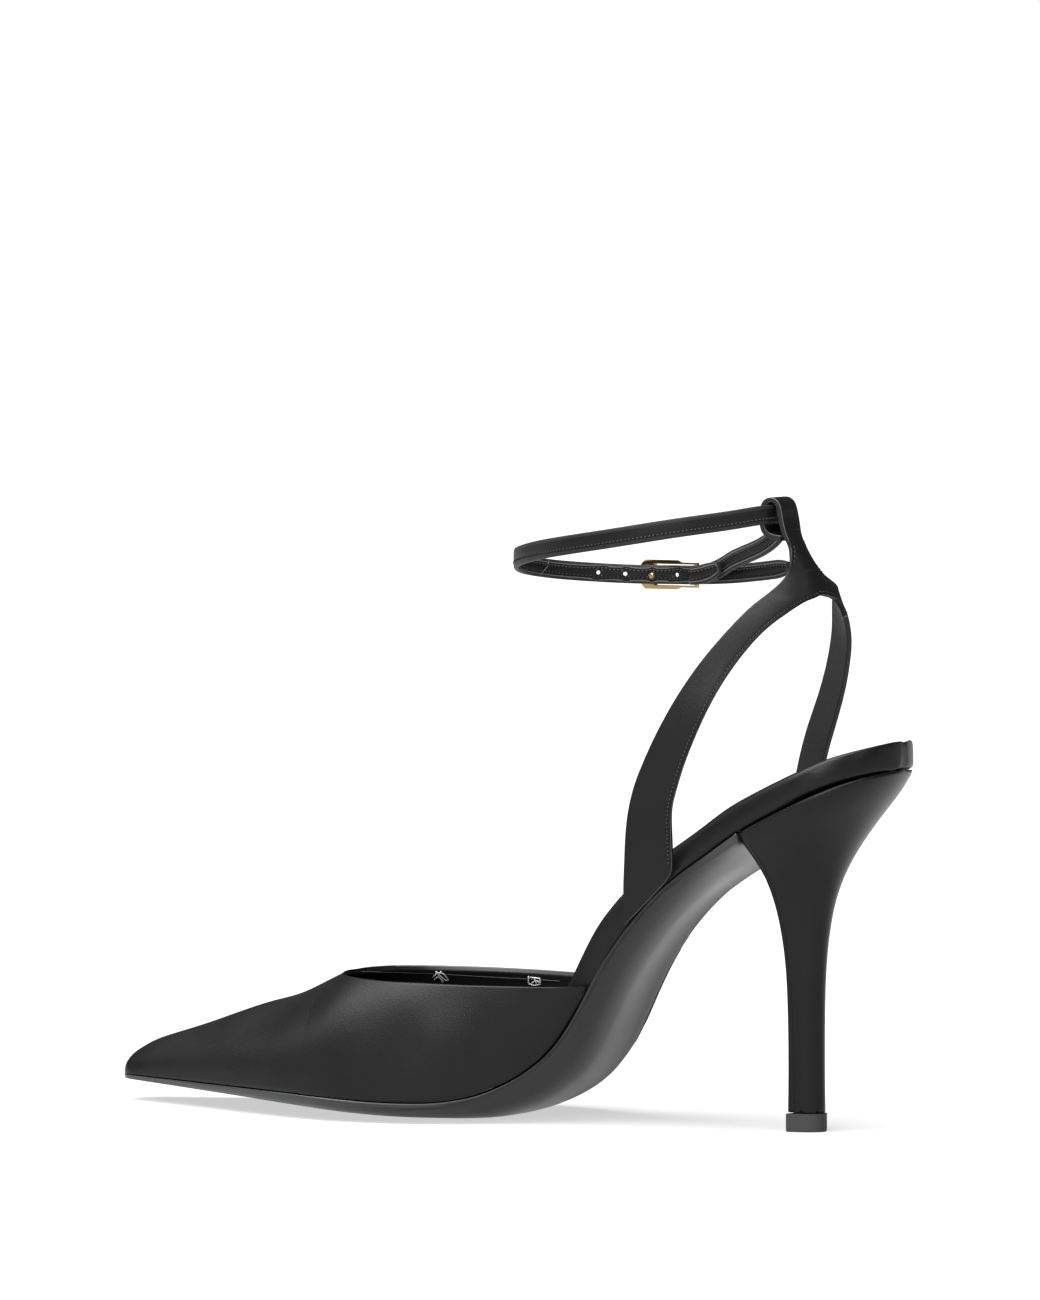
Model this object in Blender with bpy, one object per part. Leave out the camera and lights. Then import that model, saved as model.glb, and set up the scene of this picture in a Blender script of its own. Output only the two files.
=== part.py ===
# An ankle strap pump for the right foot: pointed vamp, padded footbed, leather sole, covered
# stiletto heel with its top piece, a back stay with two legs, and an ankle strap with its buckle.
# The origin is at the middle of the top piece's underside. The toe points along -X, the inner side
# of the foot is -Y and the outer side +Y. Stations run from the heel's back towards the toe.
import math

import bmesh
import bpy
import numpy as np
from mathutils import Vector

# Driving sizes, in metres
SHOE_LENGTH = 0.2445         # heel's back to toe tip, measured level
BALL_WIDTH = 0.075           # sole, across the joints
SEAT_HEIGHT = 0.100          # feather line above the floor at the heel's back
HEEL_TIP_STATION = 0.029     # heel's back to the middle of the top piece
BREAST_STATION = 0.0386      # heel's back to the front face of the heel
BREAST_HOLLOW = 0.10         # hollow of the heel's breast, as a share of half its width
SEAT_ROUND = 0.025           # length of the rounded back of the seat
TOE_ROUND = 0.0045           # length of the rounded tip of the toe, seen from above
NOSE_ROUND = 0.0110          # length over which the toe's upper side rounds down to its tip

GAP = 0.0003                 # clearance between pieces that touch
END_FACE = 0.0001            # depth of the small flat that closes a rounded end
SLOPE_STEP = 0.001           # length over which a slope is measured
SOLE_THICKNESS = 0.0030
SOLE_TOE_THICKNESS = 0.0010
SOLE_BEVEL = 0.0007
FOOTBED_THICKNESS = 0.0075
INSOLE_THICKNESS = 0.0024
PAD_OVERLAP = 0.0032         # padding that reaches into the vamp at its full thickness
PAD_FADE = 0.0240            # length over which it then thins to a plain insole
FOOTBED_TAPER = 0.0035       # length over which it narrows to fit inside the vamp

VAMP_WALL = 0.0018
VAMP_END_HEIGHT = 0.0014     # height of the vamp's rear ends, above the inner feather line
THROAT_STATION = 0.1700      # heel's back to the front of the throat
TOPLINE_HEIGHT = 0.038       # topline above the floor at the rear ends
SECTION_POWER = 2.3          # squareness of the vamp's sections
NOSE_DROP = 0.85             # share of the vamp's height that the toe's tip rounds off

TIP_HEIGHT = 0.0050          # top piece
TIP_FRONT = 0.0041           # heel's stem at the top piece, ahead of its middle line
TIP_BACK = 0.0047
TIP_WIDTH = 0.0096
TIP_OVERHANG = 0.0004        # top piece beyond the heel's stem

STAY_THICKNESS = 0.0016
STRAP_WIDTH = 0.0053
STRAP_THICKNESS = 0.0015
STRAP_EDGE = 0.0003          # chamfer along the strap's corners
STRAP_STEP = 0.0028          # length of the strap's facets
LOOP_LENGTH = 0.088          # ankle loop, front to back
LOOP_WIDTH = 0.055
ANKLE_RISE = 0.069           # seat height to the middle of the strap in the tunnel
LOOP_HEIGHT = SEAT_HEIGHT + ANKLE_RISE
TUNNEL_STATION = 0.0386      # heel's back to the strap's middle in the tunnel
TUNNEL_WIDTH = 0.0100
TUNNEL_ROUND = 0.0026        # fold of the tunnel, at the middle of its leather

HOLE_DIAMETER = 0.0012
HOLE_PITCH = 0.0075
HOLE_COUNT = 4
PEG_HOLE = 1                 # the hole that the peg sits in, counted from the tip's side
PEG_DIAMETER = 0.0008
PEG_TO_BAR = 0.0150          # peg to the bar that the strap's short end is folded round
FRAME_AHEAD = 0.0040         # frame in front of the peg
FRAME_LENGTH = 0.0138
FRAME_PLATE = 0.0050         # solid front of the frame, which carries the peg
FRAME_RIM = 0.0011           # frame above and below the strap
RAIL_RIM = 0.0005            # rails above and below the strap, from the frame to the bar
FRAME_CLIP = 0.0013
BUCKLE_THICKNESS = 0.0010
BAR_DIAMETER = 0.0012

# Bottom of the last. Stations are shares of the shoe's length, half widths of the ball width,
# and the heights of the two edges and the middle of the seat height.
LAST_COLUMNS = ("station", "inner_half", "outer_half", "inner_edge", "outer_edge", "middle")
LAST_ROWS = (
    (0.000, 0.333, 0.333, 1.000, 1.000, 1.000),
    (0.041, 0.333, 0.333, 0.968, 0.968, 0.968),
    (0.081, 0.333, 0.333, 0.925, 0.925, 0.925),
    (0.123, 0.333, 0.333, 0.876, 0.876, 0.876),
    (0.158, 0.330, 0.330, 0.830, 0.830, 0.830),
    (0.204, 0.311, 0.328, 0.757, 0.753, 0.750),
    (0.245, 0.288, 0.331, 0.694, 0.688, 0.684),
    (0.285, 0.263, 0.333, 0.616, 0.609, 0.603),
    (0.315, 0.248, 0.337, 0.537, 0.529, 0.523),
    (0.339, 0.243, 0.344, 0.463, 0.453, 0.447),
    (0.360, 0.240, 0.351, 0.380, 0.366, 0.360),
    (0.376, 0.243, 0.359, 0.306, 0.286, 0.282),
    (0.392, 0.251, 0.371, 0.240, 0.213, 0.211),
    (0.414, 0.267, 0.387, 0.180, 0.146, 0.144),
    (0.438, 0.293, 0.413, 0.134, 0.102, 0.095),
    (0.466, 0.333, 0.440, 0.095, 0.073, 0.057),
    (0.499, 0.384, 0.471, 0.068, 0.057, 0.031),
    (0.540, 0.447, 0.496, 0.057, 0.052, 0.026),
    (0.589, 0.493, 0.499, 0.058, 0.053, 0.026),
    (0.646, 0.501, 0.473, 0.064, 0.058, 0.032),
    (0.715, 0.451, 0.407, 0.070, 0.066, 0.047),
    (0.798, 0.347, 0.313, 0.072, 0.070, 0.058),
    (0.879, 0.233, 0.217, 0.072, 0.071, 0.064),
    (0.949, 0.136, 0.131, 0.072, 0.072, 0.068),
    (1.000, 0.070, 0.068, 0.073, 0.073, 0.071),
)

# Edge of the sole, as a share of its thickness: fine along the waist, full from the ball on
SOLE_EDGE_COLUMNS = ("station", "edge")
SOLE_EDGE_ROWS = (
    (0.150, 0.50),
    (0.210, 0.30),
    (0.400, 0.30),
    (0.480, 0.60),
    (0.560, 0.90),
    (1.000, 1.00),
)
SOLE_ROUND_START = 0.55      # share of the half width where the underside starts to round up
SOLE_PLACES = (-1, -0.97, -0.9, -0.78, -0.6, -0.3, 0, 0.3, 0.6, 0.78, 0.9, 0.97, 1)

# Body of the last over the vamp. Stations are shares of the shoe's length, the swell of each
# side beyond the feather line a share of the ball width, and the heights of the topline height.
BODY_COLUMNS = ("station", "inner_swell", "outer_swell", "crest", "topline")
BODY_ROWS = (
    (0.352, 0.100, 0.045, 1.640, 1.000),
    (0.409, 0.082, 0.035, 1.590, 1.000),
    (0.470, 0.050, 0.022, 1.540, 1.003),
    (0.536, 0.022, 0.014, 1.470, 1.010),
    (0.597, 0.012, 0.011, 1.350, 1.018),
    (0.654, 0.009, 0.009, 1.190, 1.028),
    (0.695, 0.008, 0.008, 1.040, 1.040),
    (0.712, 0.008, 0.008, 0.995, 1.042),
    (0.738, 0.007, 0.007, 0.905, 1.045),
    (0.764, 0.006, 0.006, 0.836, 1.045),
    (0.806, 0.005, 0.005, 0.764, 1.050),
    (0.842, 0.004, 0.004, 0.690, 1.050),
    (0.894, 0.003, 0.003, 0.577, 1.050),
    (0.945, 0.002, 0.002, 0.478, 1.050),
    (0.982, 0.000, 0.000, 0.400, 1.050),
    (1.000, 0.000, 0.000, 0.352, 1.050),
)

# Heel, from the seat down to the top piece. Front, back and half width are shares of the way
# from the top piece's edge out to the seat's; heights are shares of the seat height.
HEEL_COLUMNS = ("front", "front_height", "back", "back_height", "half_width", "roundness")
HEEL_ROWS = (
    (0.942, 0.801, 0.881, 0.950, 0.907, 0.15),
    (0.879, 0.776, 0.660, 0.880, 0.736, 0.40),
    (0.759, 0.742, 0.433, 0.803, 0.546, 0.65),
    (0.602, 0.697, 0.248, 0.727, 0.357, 0.85),
    (0.419, 0.632, 0.114, 0.642, 0.182, 1.00),
    (0.209, 0.545, 0.043, 0.547, 0.085, 1.00),
    (0.084, 0.460, 0.009, 0.460, 0.030, 1.00),
    (0.026, 0.360, -0.006, 0.360, 0.000, 1.00),
    (-0.011, 0.220, -0.008, 0.220, -0.007, 1.00),
    (-0.011, 0.120, -0.005, 0.120, -0.004, 1.00),
)
HEEL_ANGLES = np.radians(np.linspace(-90, 90, 21))   # round the heel's back, from side to side
BREAST_PLACES = (0.6, 0.2, -0.2, -0.6)               # across its front, in shares of half its width

# Back stay, from the feather line up. Each edge has its station, its place across and its
# height: shares of the shoe's length, the ball width and the loop's height. The legs join at the
# crotch, where their back edges become one middle line.
STAY_LEG_COLUMNS = (
    "inner_front_station", "inner_front_across", "inner_front_height", "inner_back_station", "inner_back_across", "inner_back_height",
    "outer_back_station", "outer_back_across", "outer_back_height", "outer_front_station", "outer_front_across", "outer_front_height",
)
STAY_LEG_ROWS = (
    (0.309, -0.255, 0.333, 0.244, -0.290, 0.417, 0.161, 0.335, 0.498, 0.210, 0.335, 0.450),
    (0.306, -0.292, 0.381, 0.240, -0.322, 0.449, 0.161, 0.361, 0.521, 0.207, 0.370, 0.487),
    (0.300, -0.324, 0.430, 0.238, -0.341, 0.482, 0.161, 0.369, 0.545, 0.200, 0.387, 0.527),
    (0.292, -0.368, 0.478, 0.235, -0.363, 0.521, 0.158, 0.373, 0.579, 0.194, 0.400, 0.574),
    (0.283, -0.400, 0.526, 0.228, -0.376, 0.553, 0.153, 0.368, 0.606, 0.187, 0.400, 0.615),
    (0.271, -0.416, 0.574, 0.219, -0.377, 0.592, 0.145, 0.351, 0.633, 0.178, 0.393, 0.651),
    (0.256, -0.416, 0.621, 0.208, -0.371, 0.633, 0.133, 0.327, 0.672, 0.168, 0.379, 0.681),
    (0.239, -0.400, 0.672, 0.195, -0.357, 0.678, 0.121, 0.299, 0.713, 0.154, 0.348, 0.721),
    (0.221, -0.373, 0.721, 0.182, -0.327, 0.721, 0.111, 0.265, 0.752, 0.139, 0.305, 0.769),
    (0.201, -0.333, 0.769, 0.165, -0.273, 0.769, 0.103, 0.227, 0.795, 0.130, 0.272, 0.808),
    (0.178, -0.255, 0.820, 0.144, -0.193, 0.817, 0.101, 0.179, 0.834, 0.125, 0.242, 0.837),
    (0.163, -0.186, 0.852, 0.125, -0.109, 0.846, 0.101, 0.120, 0.857, 0.121, 0.219, 0.861),
    (0.156, -0.158, 0.863, 0.115, -0.053, 0.861, 0.102, 0.064, 0.866, 0.118, 0.210, 0.871),
)
STAY_STEM_COLUMNS = (
    "inner_station", "inner_across", "inner_height", "middle_station", "middle_across", "middle_height", "outer_station", "outer_across", "outer_height",
)
STAY_STEM_ROWS = (
    (0.150, -0.132, 0.873, 0.106, 0.007, 0.871, 0.117, 0.200, 0.880),
    (0.139, -0.082, 0.895, 0.111, 0.007, 0.895, 0.124, 0.143, 0.896),
    (0.133, -0.066, 0.919, 0.120, 0.004, 0.919, 0.131, 0.098, 0.919),
    (0.134, -0.060, 0.947, 0.129, 0.002, 0.947, 0.138, 0.070, 0.946),
    (0.141, -0.065, 0.968, 0.137, 0.000, 0.968, 0.143, 0.067, 0.968),
)
# The tunnel, a fold of the stem: behind or ahead of the strap's middle and above it, in shares
# of the fold's radius
TUNNEL_COLUMNS = ("behind", "above")
TUNNEL_ROWS = (
    (1.27, -0.83),
    (1.06, 0.20),
    (1.00, 0.62),
    (0.71, 1.33),
    (0.00, 1.62),
    (-0.71, 1.33),
    (-1.00, 0.62),
    (-1.08, -1.10),
    (-0.75, -2.00),
    (0.25, -2.40),
    (1.20, -2.50),
)

# Ankle strap, from the end of its fold round the buckle's bar to the tip of its long end.
# Ahead of the tunnel, across and above it: shares of the loop's length, width and height.
STRAP_COLUMNS = ("ahead", "across", "height")
FOLD_ROWS = (
    (0.335, 0.405, 0.905),
    (0.370, 0.420, 0.898),
)
SHORT_ROWS = (
    (0.350, 0.465, 0.903),
    (0.290, 0.405, 0.917),
    (0.215, 0.325, 0.929),
    (0.130, 0.235, 0.943),
    (0.046, 0.160, 0.968),
    (0.003, 0.090, 0.994),
    (0.000, 0.030, 1.000),
)
LONG_ROWS = (
    (0.000, -0.030, 1.000),
    (0.004, -0.110, 1.000),
    (0.090, -0.270, 0.991),
    (0.230, -0.425, 0.979),
    (0.400, -0.500, 0.964),
    (0.575, -0.490, 0.950),
    (0.740, -0.385, 0.936),
    (0.855, -0.210, 0.921),
    (0.890, -0.010, 0.909),
    (0.860, 0.190, 0.900),
    (0.775, 0.345, 0.894),
    (0.690, 0.432, 0.891),
    (0.630, 0.472, 0.890),
    (0.580, 0.484, 0.890),
    (0.520, 0.500, 0.890),
    (0.460, 0.518, 0.890),
    (0.400, 0.524, 0.891),
    (0.330, 0.510, 0.893),
    (0.230, 0.465, 0.898),
    (0.150, 0.425, 0.903),
    (0.085, 0.385, 0.908),
)
BAR_PLACE = (0.431, 0.4545, 0.8905)      # the buckle's bar, in the same shares
STRAP_TIP_NARROW = 0.62      # width of the strap's cut ends, as a share

STAY_ROUNDING = 9            # rows over which the flat legs round into the stem
VAMP_COLUMNS = 12            # faces from feather line to crest
THROAT_SECTIONS = 16
TOE_SECTIONS = 13
SOLE_SECTIONS = 40
FOOTBED_SECTIONS = 34


def column(rows, names, name):
    """One named column of a table."""
    return np.array([row[names.index(name)] for row in rows], float)


def slopes(places, values):
    """Slopes that keep a curve through the values smooth and free of overshoot."""
    step = np.diff(places)
    rise = np.diff(values) / step
    middle = np.zeros(len(values))
    for i in range(1, len(values) - 1):
        if rise[i - 1] * rise[i] > 0:
            before, after = 2 * step[i] + step[i - 1], step[i] + 2 * step[i - 1]
            middle[i] = (before + after) / (before / rise[i - 1] + after / rise[i])
    middle[0], middle[-1] = rise[0], rise[-1]
    return middle


def curve(places, values):
    """A smooth function through a table's values."""
    tangent = slopes(places, values)

    def value(at):
        at = np.clip(at, places[0], places[-1])
        i = int(np.clip(np.searchsorted(places, at) - 1, 0, len(places) - 2))
        step = places[i + 1] - places[i]
        t = (at - places[i]) / step
        return ((2 * t**3 - 3 * t**2 + 1) * values[i] + (t**3 - 2 * t**2 + t) * step * tangent[i]
                + (3 * t**2 - 2 * t**3) * values[i + 1] + (t**3 - t**2) * step * tangent[i + 1])
    return value


def table_curve(rows, names, name, scale):
    stations = column(rows, names, "station") * SHOE_LENGTH
    return curve(stations, column(rows, names, name) * scale)


inner_half = table_curve(LAST_ROWS, LAST_COLUMNS, "inner_half", BALL_WIDTH)
outer_half = table_curve(LAST_ROWS, LAST_COLUMNS, "outer_half", BALL_WIDTH)
inner_edge = table_curve(LAST_ROWS, LAST_COLUMNS, "inner_edge", SEAT_HEIGHT)
outer_edge = table_curve(LAST_ROWS, LAST_COLUMNS, "outer_edge", SEAT_HEIGHT)
middle_height = table_curve(LAST_ROWS, LAST_COLUMNS, "middle", SEAT_HEIGHT)
inner_swell = table_curve(BODY_ROWS, BODY_COLUMNS, "inner_swell", BALL_WIDTH)
outer_swell = table_curve(BODY_ROWS, BODY_COLUMNS, "outer_swell", BALL_WIDTH)
crest_height = table_curve(BODY_ROWS, BODY_COLUMNS, "crest", TOPLINE_HEIGHT)
sole_edge = table_curve(SOLE_EDGE_ROWS, SOLE_EDGE_COLUMNS, "edge", 1.0)
topline_height = table_curve(BODY_ROWS, BODY_COLUMNS, "topline", TOPLINE_HEIGHT)


def round_end(distance, radius):
    """How wide a rounded end is, as a share, at a distance from its tip."""
    share = np.clip(1 - distance / radius, 0, 1)
    return math.sqrt(max(0.0, 1 - share**2))


def place(station):
    """World X of a station."""
    return HEEL_TIP_STATION - station


def half_width(station, side, inset=0.0):
    """Half width of the feather line at a station: side is -1 inner, +1 outer."""
    width = inner_half(station) if side < 0 else outer_half(station)
    seat = round_end(station - inset, SEAT_ROUND - inset)
    toe = round_end(SHOE_LENGTH - inset - station, TOE_ROUND - inset)
    return max((width - inset) * seat * toe, 0.0)


def bottom_height(station, across):
    """Height of the last's bottom: across runs from -1, inner edge, to 1, outer edge."""
    edge = inner_edge(station) if across < 0 else outer_edge(station)
    return middle_height(station) + (edge - middle_height(station)) * abs(across)**2.5


def vamp_start():
    """Station of the vamp's rear ends, where its topline comes down to the feather line."""
    low, high = 0.0, THROAT_STATION
    while high - low > END_FACE / 100:
        middle = (low + high) / 2
        if topline_height(middle) - inner_edge(middle) < VAMP_END_HEIGHT:
            low = middle
        else:
            high = middle
    return high


def lean(station):
    """How much longer a level-measured thickness is on the sloping arch."""
    rise = middle_height(station + SLOPE_STEP) - middle_height(station - SLOPE_STEP)
    return math.hypot(1, rise / (2 * SLOPE_STEP))


def from_end(radius, count):
    """Distances from the tip of a rounded end, in even turns round it."""
    turns = np.linspace(0, math.pi / 2, count + 1)[1:]
    return [END_FACE, *(radius * (1 - math.cos(turn)) for turn in turns)]


def toe_stations(start, count, inset=0.0):
    """Stations from a start to the tip of the toe, closer together round the tip."""
    tip = SHOE_LENGTH - inset
    rounded = [tip - distance for distance in from_end(TOE_ROUND - inset, 6)][::-1]
    return [*np.linspace(start, rounded[0], count, endpoint=False), *rounded]


def make_material(name, color, roughness, metallic=0.0):
    material = bpy.data.materials.new(name)
    material.use_nodes = True
    shader = material.node_tree.nodes["Principled BSDF"]
    shader.inputs["Base Color"].default_value = (*color, 1)
    shader.inputs["Roughness"].default_value = roughness
    shader.inputs["Metallic"].default_value = metallic
    return material


def add_object(name, mesh_data, material, sharp_angle=40):
    """A named object from a bmesh, its faces turned outwards and shaded smooth."""
    bmesh.ops.recalc_face_normals(mesh_data, faces=mesh_data.faces)
    if mesh_data.calc_volume(signed=True) < 0:
        bmesh.ops.reverse_faces(mesh_data, faces=mesh_data.faces)
    mesh = bpy.data.meshes.new(name)
    mesh_data.to_mesh(mesh)
    mesh_data.free()
    mesh.materials.append(material)
    mesh.shade_smooth()
    mesh.set_sharp_from_angle(angle=math.radians(sharp_angle))
    piece = bpy.data.objects.new(name, mesh)
    bpy.context.scene.collection.objects.link(piece)
    return piece


def loft(rings):
    """A closed solid through rings of equally many points, with a flat cap on each end."""
    solid = bmesh.new()
    rows = [[solid.verts.new(point) for point in ring] for ring in rings]
    count = len(rows[0])
    for row, following in zip(rows, rows[1:]):
        for i in range(count):
            j = (i + 1) % count
            solid.faces.new((row[i], row[j], following[j], following[i]))
    solid.faces.new(rows[0])
    solid.faces.new(rows[-1])
    return solid


def thicken(faces, outer, inner):
    """A closed wall between two sheets with the same faces: each sheet maps a key to a point."""
    solid = bmesh.new()
    outside = {key: solid.verts.new(point) for key, point in outer.items()}
    for face in faces:
        solid.faces.new([outside[key] for key in face])
    edges = [(edge.verts[0], edge.verts[1]) for edge in solid.edges if edge.is_boundary]
    names = {vertex: key for key, vertex in outside.items()}
    inside = {key: solid.verts.new(point) for key, point in inner.items()}
    for face in faces:
        solid.faces.new([inside[key] for key in reversed(face)])
    for a, b in edges:
        solid.faces.new((a, b, inside[names[b]], inside[names[a]]))
    return solid


def make_outsole(material):
    """The leather sole, from the heel's breast to the toe, flat where the ball rests."""
    rings = []
    for station in toe_stations(BREAST_STATION + GAP, SOLE_SECTIONS):
        share = station / SHOE_LENGTH
        thickness = SOLE_THICKNESS + (SOLE_TOE_THICKNESS - SOLE_THICKNESS) * max(0, share - 0.7) / 0.3
        top, bottom = [], []
        for t in SOLE_PLACES:
            y = t * half_width(station, t)
            z = bottom_height(station, t)
            turn = max(abs(t) - SOLE_ROUND_START, 0) / (1 - SOLE_ROUND_START)
            edge = sole_edge(station)
            drop = (thickness * (edge + (1 - edge) * math.sqrt(1 - turn**2))) * lean(station)
            if abs(t) == 1:
                drop -= min(SOLE_BEVEL, drop / 2)
            top.append((place(station), y, z))
            bottom.append((place(station), y, max(z - drop, 0.0)))
        rings.append(top + bottom[::-1])
    return add_object("outsole", loft(rings), material)


def make_footbed(material):
    """The padded footbed, wrapped in leather: thick and open to view over arch and seat, and a
    plain insole inside the vamp."""
    profile = ((-1.0, 0.16), (-1.0, 0.5), (-0.985, 0.78), (-0.95, 0.94), (-0.88, 1.0), (-0.45, 0.97),
               (0, 0.95), (0.45, 0.97), (0.88, 1.0), (0.95, 0.94), (0.985, 0.78), (1.0, 0.5),
               (1.0, 0.16), *((t, 0) for t in SOLE_PLACES[-2:0:-1]))
    inside_vamp = VAMP_WALL + GAP
    pad_end = vamp_start() + PAD_OVERLAP
    thickness_at = curve(np.array([0, pad_end, pad_end + PAD_FADE, SHOE_LENGTH]),
                         np.array([FOOTBED_THICKNESS, FOOTBED_THICKNESS, INSOLE_THICKNESS, INSOLE_THICKNESS]))
    seat = from_end(SEAT_ROUND, 8)
    rings = []
    for station in [*seat[:-1], *np.linspace(SEAT_ROUND, SHOE_LENGTH - NOSE_ROUND, FOOTBED_SECTIONS)]:
        entry = np.clip((station - vamp_start() + GAP) / FOOTBED_TAPER + 1, 0, 1)
        height = thickness_at(station) * lean(station)
        ring = []
        for t, level in profile:
            z = bottom_height(station, t) + GAP * lean(station) + level * height
            ring.append((place(station), t * half_width(station, t, inside_vamp * entry), z))
        rings.append(ring)
    return add_object("footbed", loft(rings), material, 50)


def vamp_point(station, side, angle, inset):
    """A point of the last's body: angle runs from 0 at the feather line to a quarter turn at
    the crest, and inset is how far inside the outer face it lies."""
    foot = half_width(station, side, inset)
    edge = inner_edge(station) if side < 0 else outer_edge(station)
    swell = inner_swell(station) if side < 0 else outer_swell(station)
    nose = round_end(SHOE_LENGTH - inset - station, TOE_ROUND - inset)
    body = foot + swell * nose
    blunt = round_end(SHOE_LENGTH - inset - station, NOSE_ROUND - inset)
    height = (crest_height(station) - inset - edge) * (1 - NOSE_DROP * (1 - blunt))
    power = 2 / SECTION_POWER
    y = body * max(math.cos(angle), 0.0)**power - (body - foot) * (1 - math.sin(angle))**3
    z = edge + GAP * lean(station) + height * math.sin(angle)**power
    return (place(station), side * y, z)


def top_angle(station, side):
    """The angle at which the vamp ends, at its topline or at the crest."""
    if station >= THROAT_STATION:
        return math.pi / 2
    edge = inner_edge(station) if side < 0 else outer_edge(station)
    share = (topline_height(station) - edge) / (crest_height(station) - edge)
    return math.asin(min(share, 1.0)**(SECTION_POWER / 2))


def make_vamp(material):
    """The pointed vamp: one wall from the feather line to the topline, closed over the toe."""
    closing = np.sin(np.linspace(0, math.pi / 2, THROAT_SECTIONS))
    start = vamp_start()
    open_rows = (start + (THROAT_STATION - start) * closing)[:-1]
    outer, inner = {}, {}
    for layer, inset in ((outer, 0.0), (inner, VAMP_WALL)):
        stations = [*open_rows, *toe_stations(THROAT_STATION, TOE_SECTIONS, inset)]
        for row, station in enumerate(stations):
            for side in (-1, 1):
                last_angle = top_angle(station, side)
                for step in range(VAMP_COLUMNS + 1):
                    key = (row, side, step)
                    if step == VAMP_COLUMNS and row >= len(open_rows):
                        key = (row, 0, step)
                    angle = last_angle * step / VAMP_COLUMNS
                    layer[key] = vamp_point(station, side, angle, inset)
    rows = len(stations)

    def key_of(row, side, step):
        joined = step == VAMP_COLUMNS and row >= len(open_rows)
        return (row, 0, step) if joined else (row, side, step)

    faces = []
    for row in range(rows - 1):
        for side in (-1, 1):
            for step in range(VAMP_COLUMNS):
                face = [key_of(row, side, step), key_of(row, side, step + 1),
                        key_of(row + 1, side, step + 1), key_of(row + 1, side, step)]
                faces.append(face if side < 0 else face[::-1])
    nose = [key_of(rows - 1, -1, step) for step in range(VAMP_COLUMNS + 1)]
    nose += [key_of(rows - 1, 1, step) for step in range(VAMP_COLUMNS - 1, -1, -1)]
    faces.append(nose)
    return add_object("vamp", thicken(faces, outer, inner), material, 50)


def heel_ring(front, front_height, back, back_height, half, roundness):
    """One level of the heel: a straight breast, and a back between the seat's outline and an
    ellipse."""
    ring = []
    for angle in HEEL_ANGLES:
        along = math.cos(angle)
        seat = half_width(BREAST_STATION * (1 - along), 1) / half_width(BREAST_STATION, 1)
        oval = abs(math.sin(angle))**0.9
        width = half * (seat + (oval - seat) * roundness)
        ring.append((front + (back - front) * along, width * math.copysign(1, angle),
                     front_height + (back_height - front_height) * along))
    hollow = BREAST_HOLLOW * half * roundness
    for share in BREAST_PLACES:
        ring.append((front + hollow * (1 - share**2), share * half, front_height))
    return ring


def seat_ring():
    """The heel's top, which lies along the seat's feather line."""
    ring = []
    for angle in HEEL_ANGLES:
        station = BREAST_STATION * (1 - math.cos(angle))
        ring.append((place(station), half_width(station, 1) * math.copysign(1, angle),
                     bottom_height(station, 1)))
    for share in BREAST_PLACES:
        ring.append((place(BREAST_STATION), share * half_width(BREAST_STATION, 1),
                     bottom_height(BREAST_STATION, 1)))
    return ring


def make_heel(material):
    """The covered stiletto heel: its top lies on the seat, and the stem ends at the top piece."""
    rings = [seat_ring()]
    breast = BREAST_STATION - HEEL_TIP_STATION
    for front, front_height, back, back_height, half, roundness in HEEL_ROWS:
        ahead = TIP_FRONT + (breast - TIP_FRONT) * front
        behind = TIP_BACK + (HEEL_TIP_STATION - TIP_BACK) * back
        width = TIP_WIDTH / 2 + (half_width(BREAST_STATION, 1) - TIP_WIDTH / 2) * half
        rings.append(heel_ring(-ahead, front_height * SEAT_HEIGHT, behind, back_height * SEAT_HEIGHT,
                               width, roundness))
    foot = TIP_HEIGHT + GAP
    rings.append(heel_ring(-TIP_FRONT, foot, TIP_BACK, foot, TIP_WIDTH / 2, 1.0))
    solid = loft(rings)
    solid.faces.ensure_lookup_table()
    seat = max(solid.faces, key=lambda face: sum(vertex.co.z for vertex in face.verts) / len(face.verts)
               if len(face.verts) > 4 else 0)
    top = list(seat.verts)
    solid.faces.remove(seat)
    sides = len(HEEL_ANGLES)
    for i in range(sides // 2 - 1):
        solid.faces.new((top[i], top[i + 1], top[sides - 2 - i], top[sides - 1 - i]))
    middle = sides // 2
    solid.faces.new((top[middle - 1], top[middle], top[middle + 1]))
    solid.faces.new((top[0], top[sides - 1], *top[sides:]))
    return add_object("heel", solid, material, 35)


def make_top_piece(material):
    """The hard piece that the heel stands on."""
    rings = []
    for height, over in ((0.0, TIP_OVERHANG / 2), (TIP_OVERHANG, TIP_OVERHANG), (TIP_HEIGHT, TIP_OVERHANG)):
        rings.append(heel_ring(-TIP_FRONT - over, height, TIP_BACK + over, height,
                               TIP_WIDTH / 2 + over, 1.0))
    return add_object("top_piece", loft(rings), material, 35)


def smooth_rows(rows, steps):
    """More rows between the rows of a table of points, on smooth curves."""
    rows = np.array(rows, float)
    places = np.arange(len(rows), dtype=float)
    curves = [curve(places, rows[:, i]) for i in range(rows.shape[1])]
    return np.array([[f(at) for f in curves] for at in np.linspace(0, len(rows) - 1, steps)])


def stay_point(edge):
    """World place of a stay edge's station, place across and height."""
    station, across, height = edge
    return np.array((place(station * SHOE_LENGTH), across * BALL_WIDTH, height * LOOP_HEIGHT))


def beside_footbed(point, side):
    """Keeps a leg of the stay on the outside of the footbed's rim."""
    x, y, z = point
    station = HEEL_TIP_STATION - x
    rim = bottom_height(station, side) + FOOTBED_THICKNESS * lean(station)
    least = half_width(station, side) + GAP + STAY_THICKNESS / 2 - max(z - rim, 0)
    return np.array((x, side * max(side * y, least), z))


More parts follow.
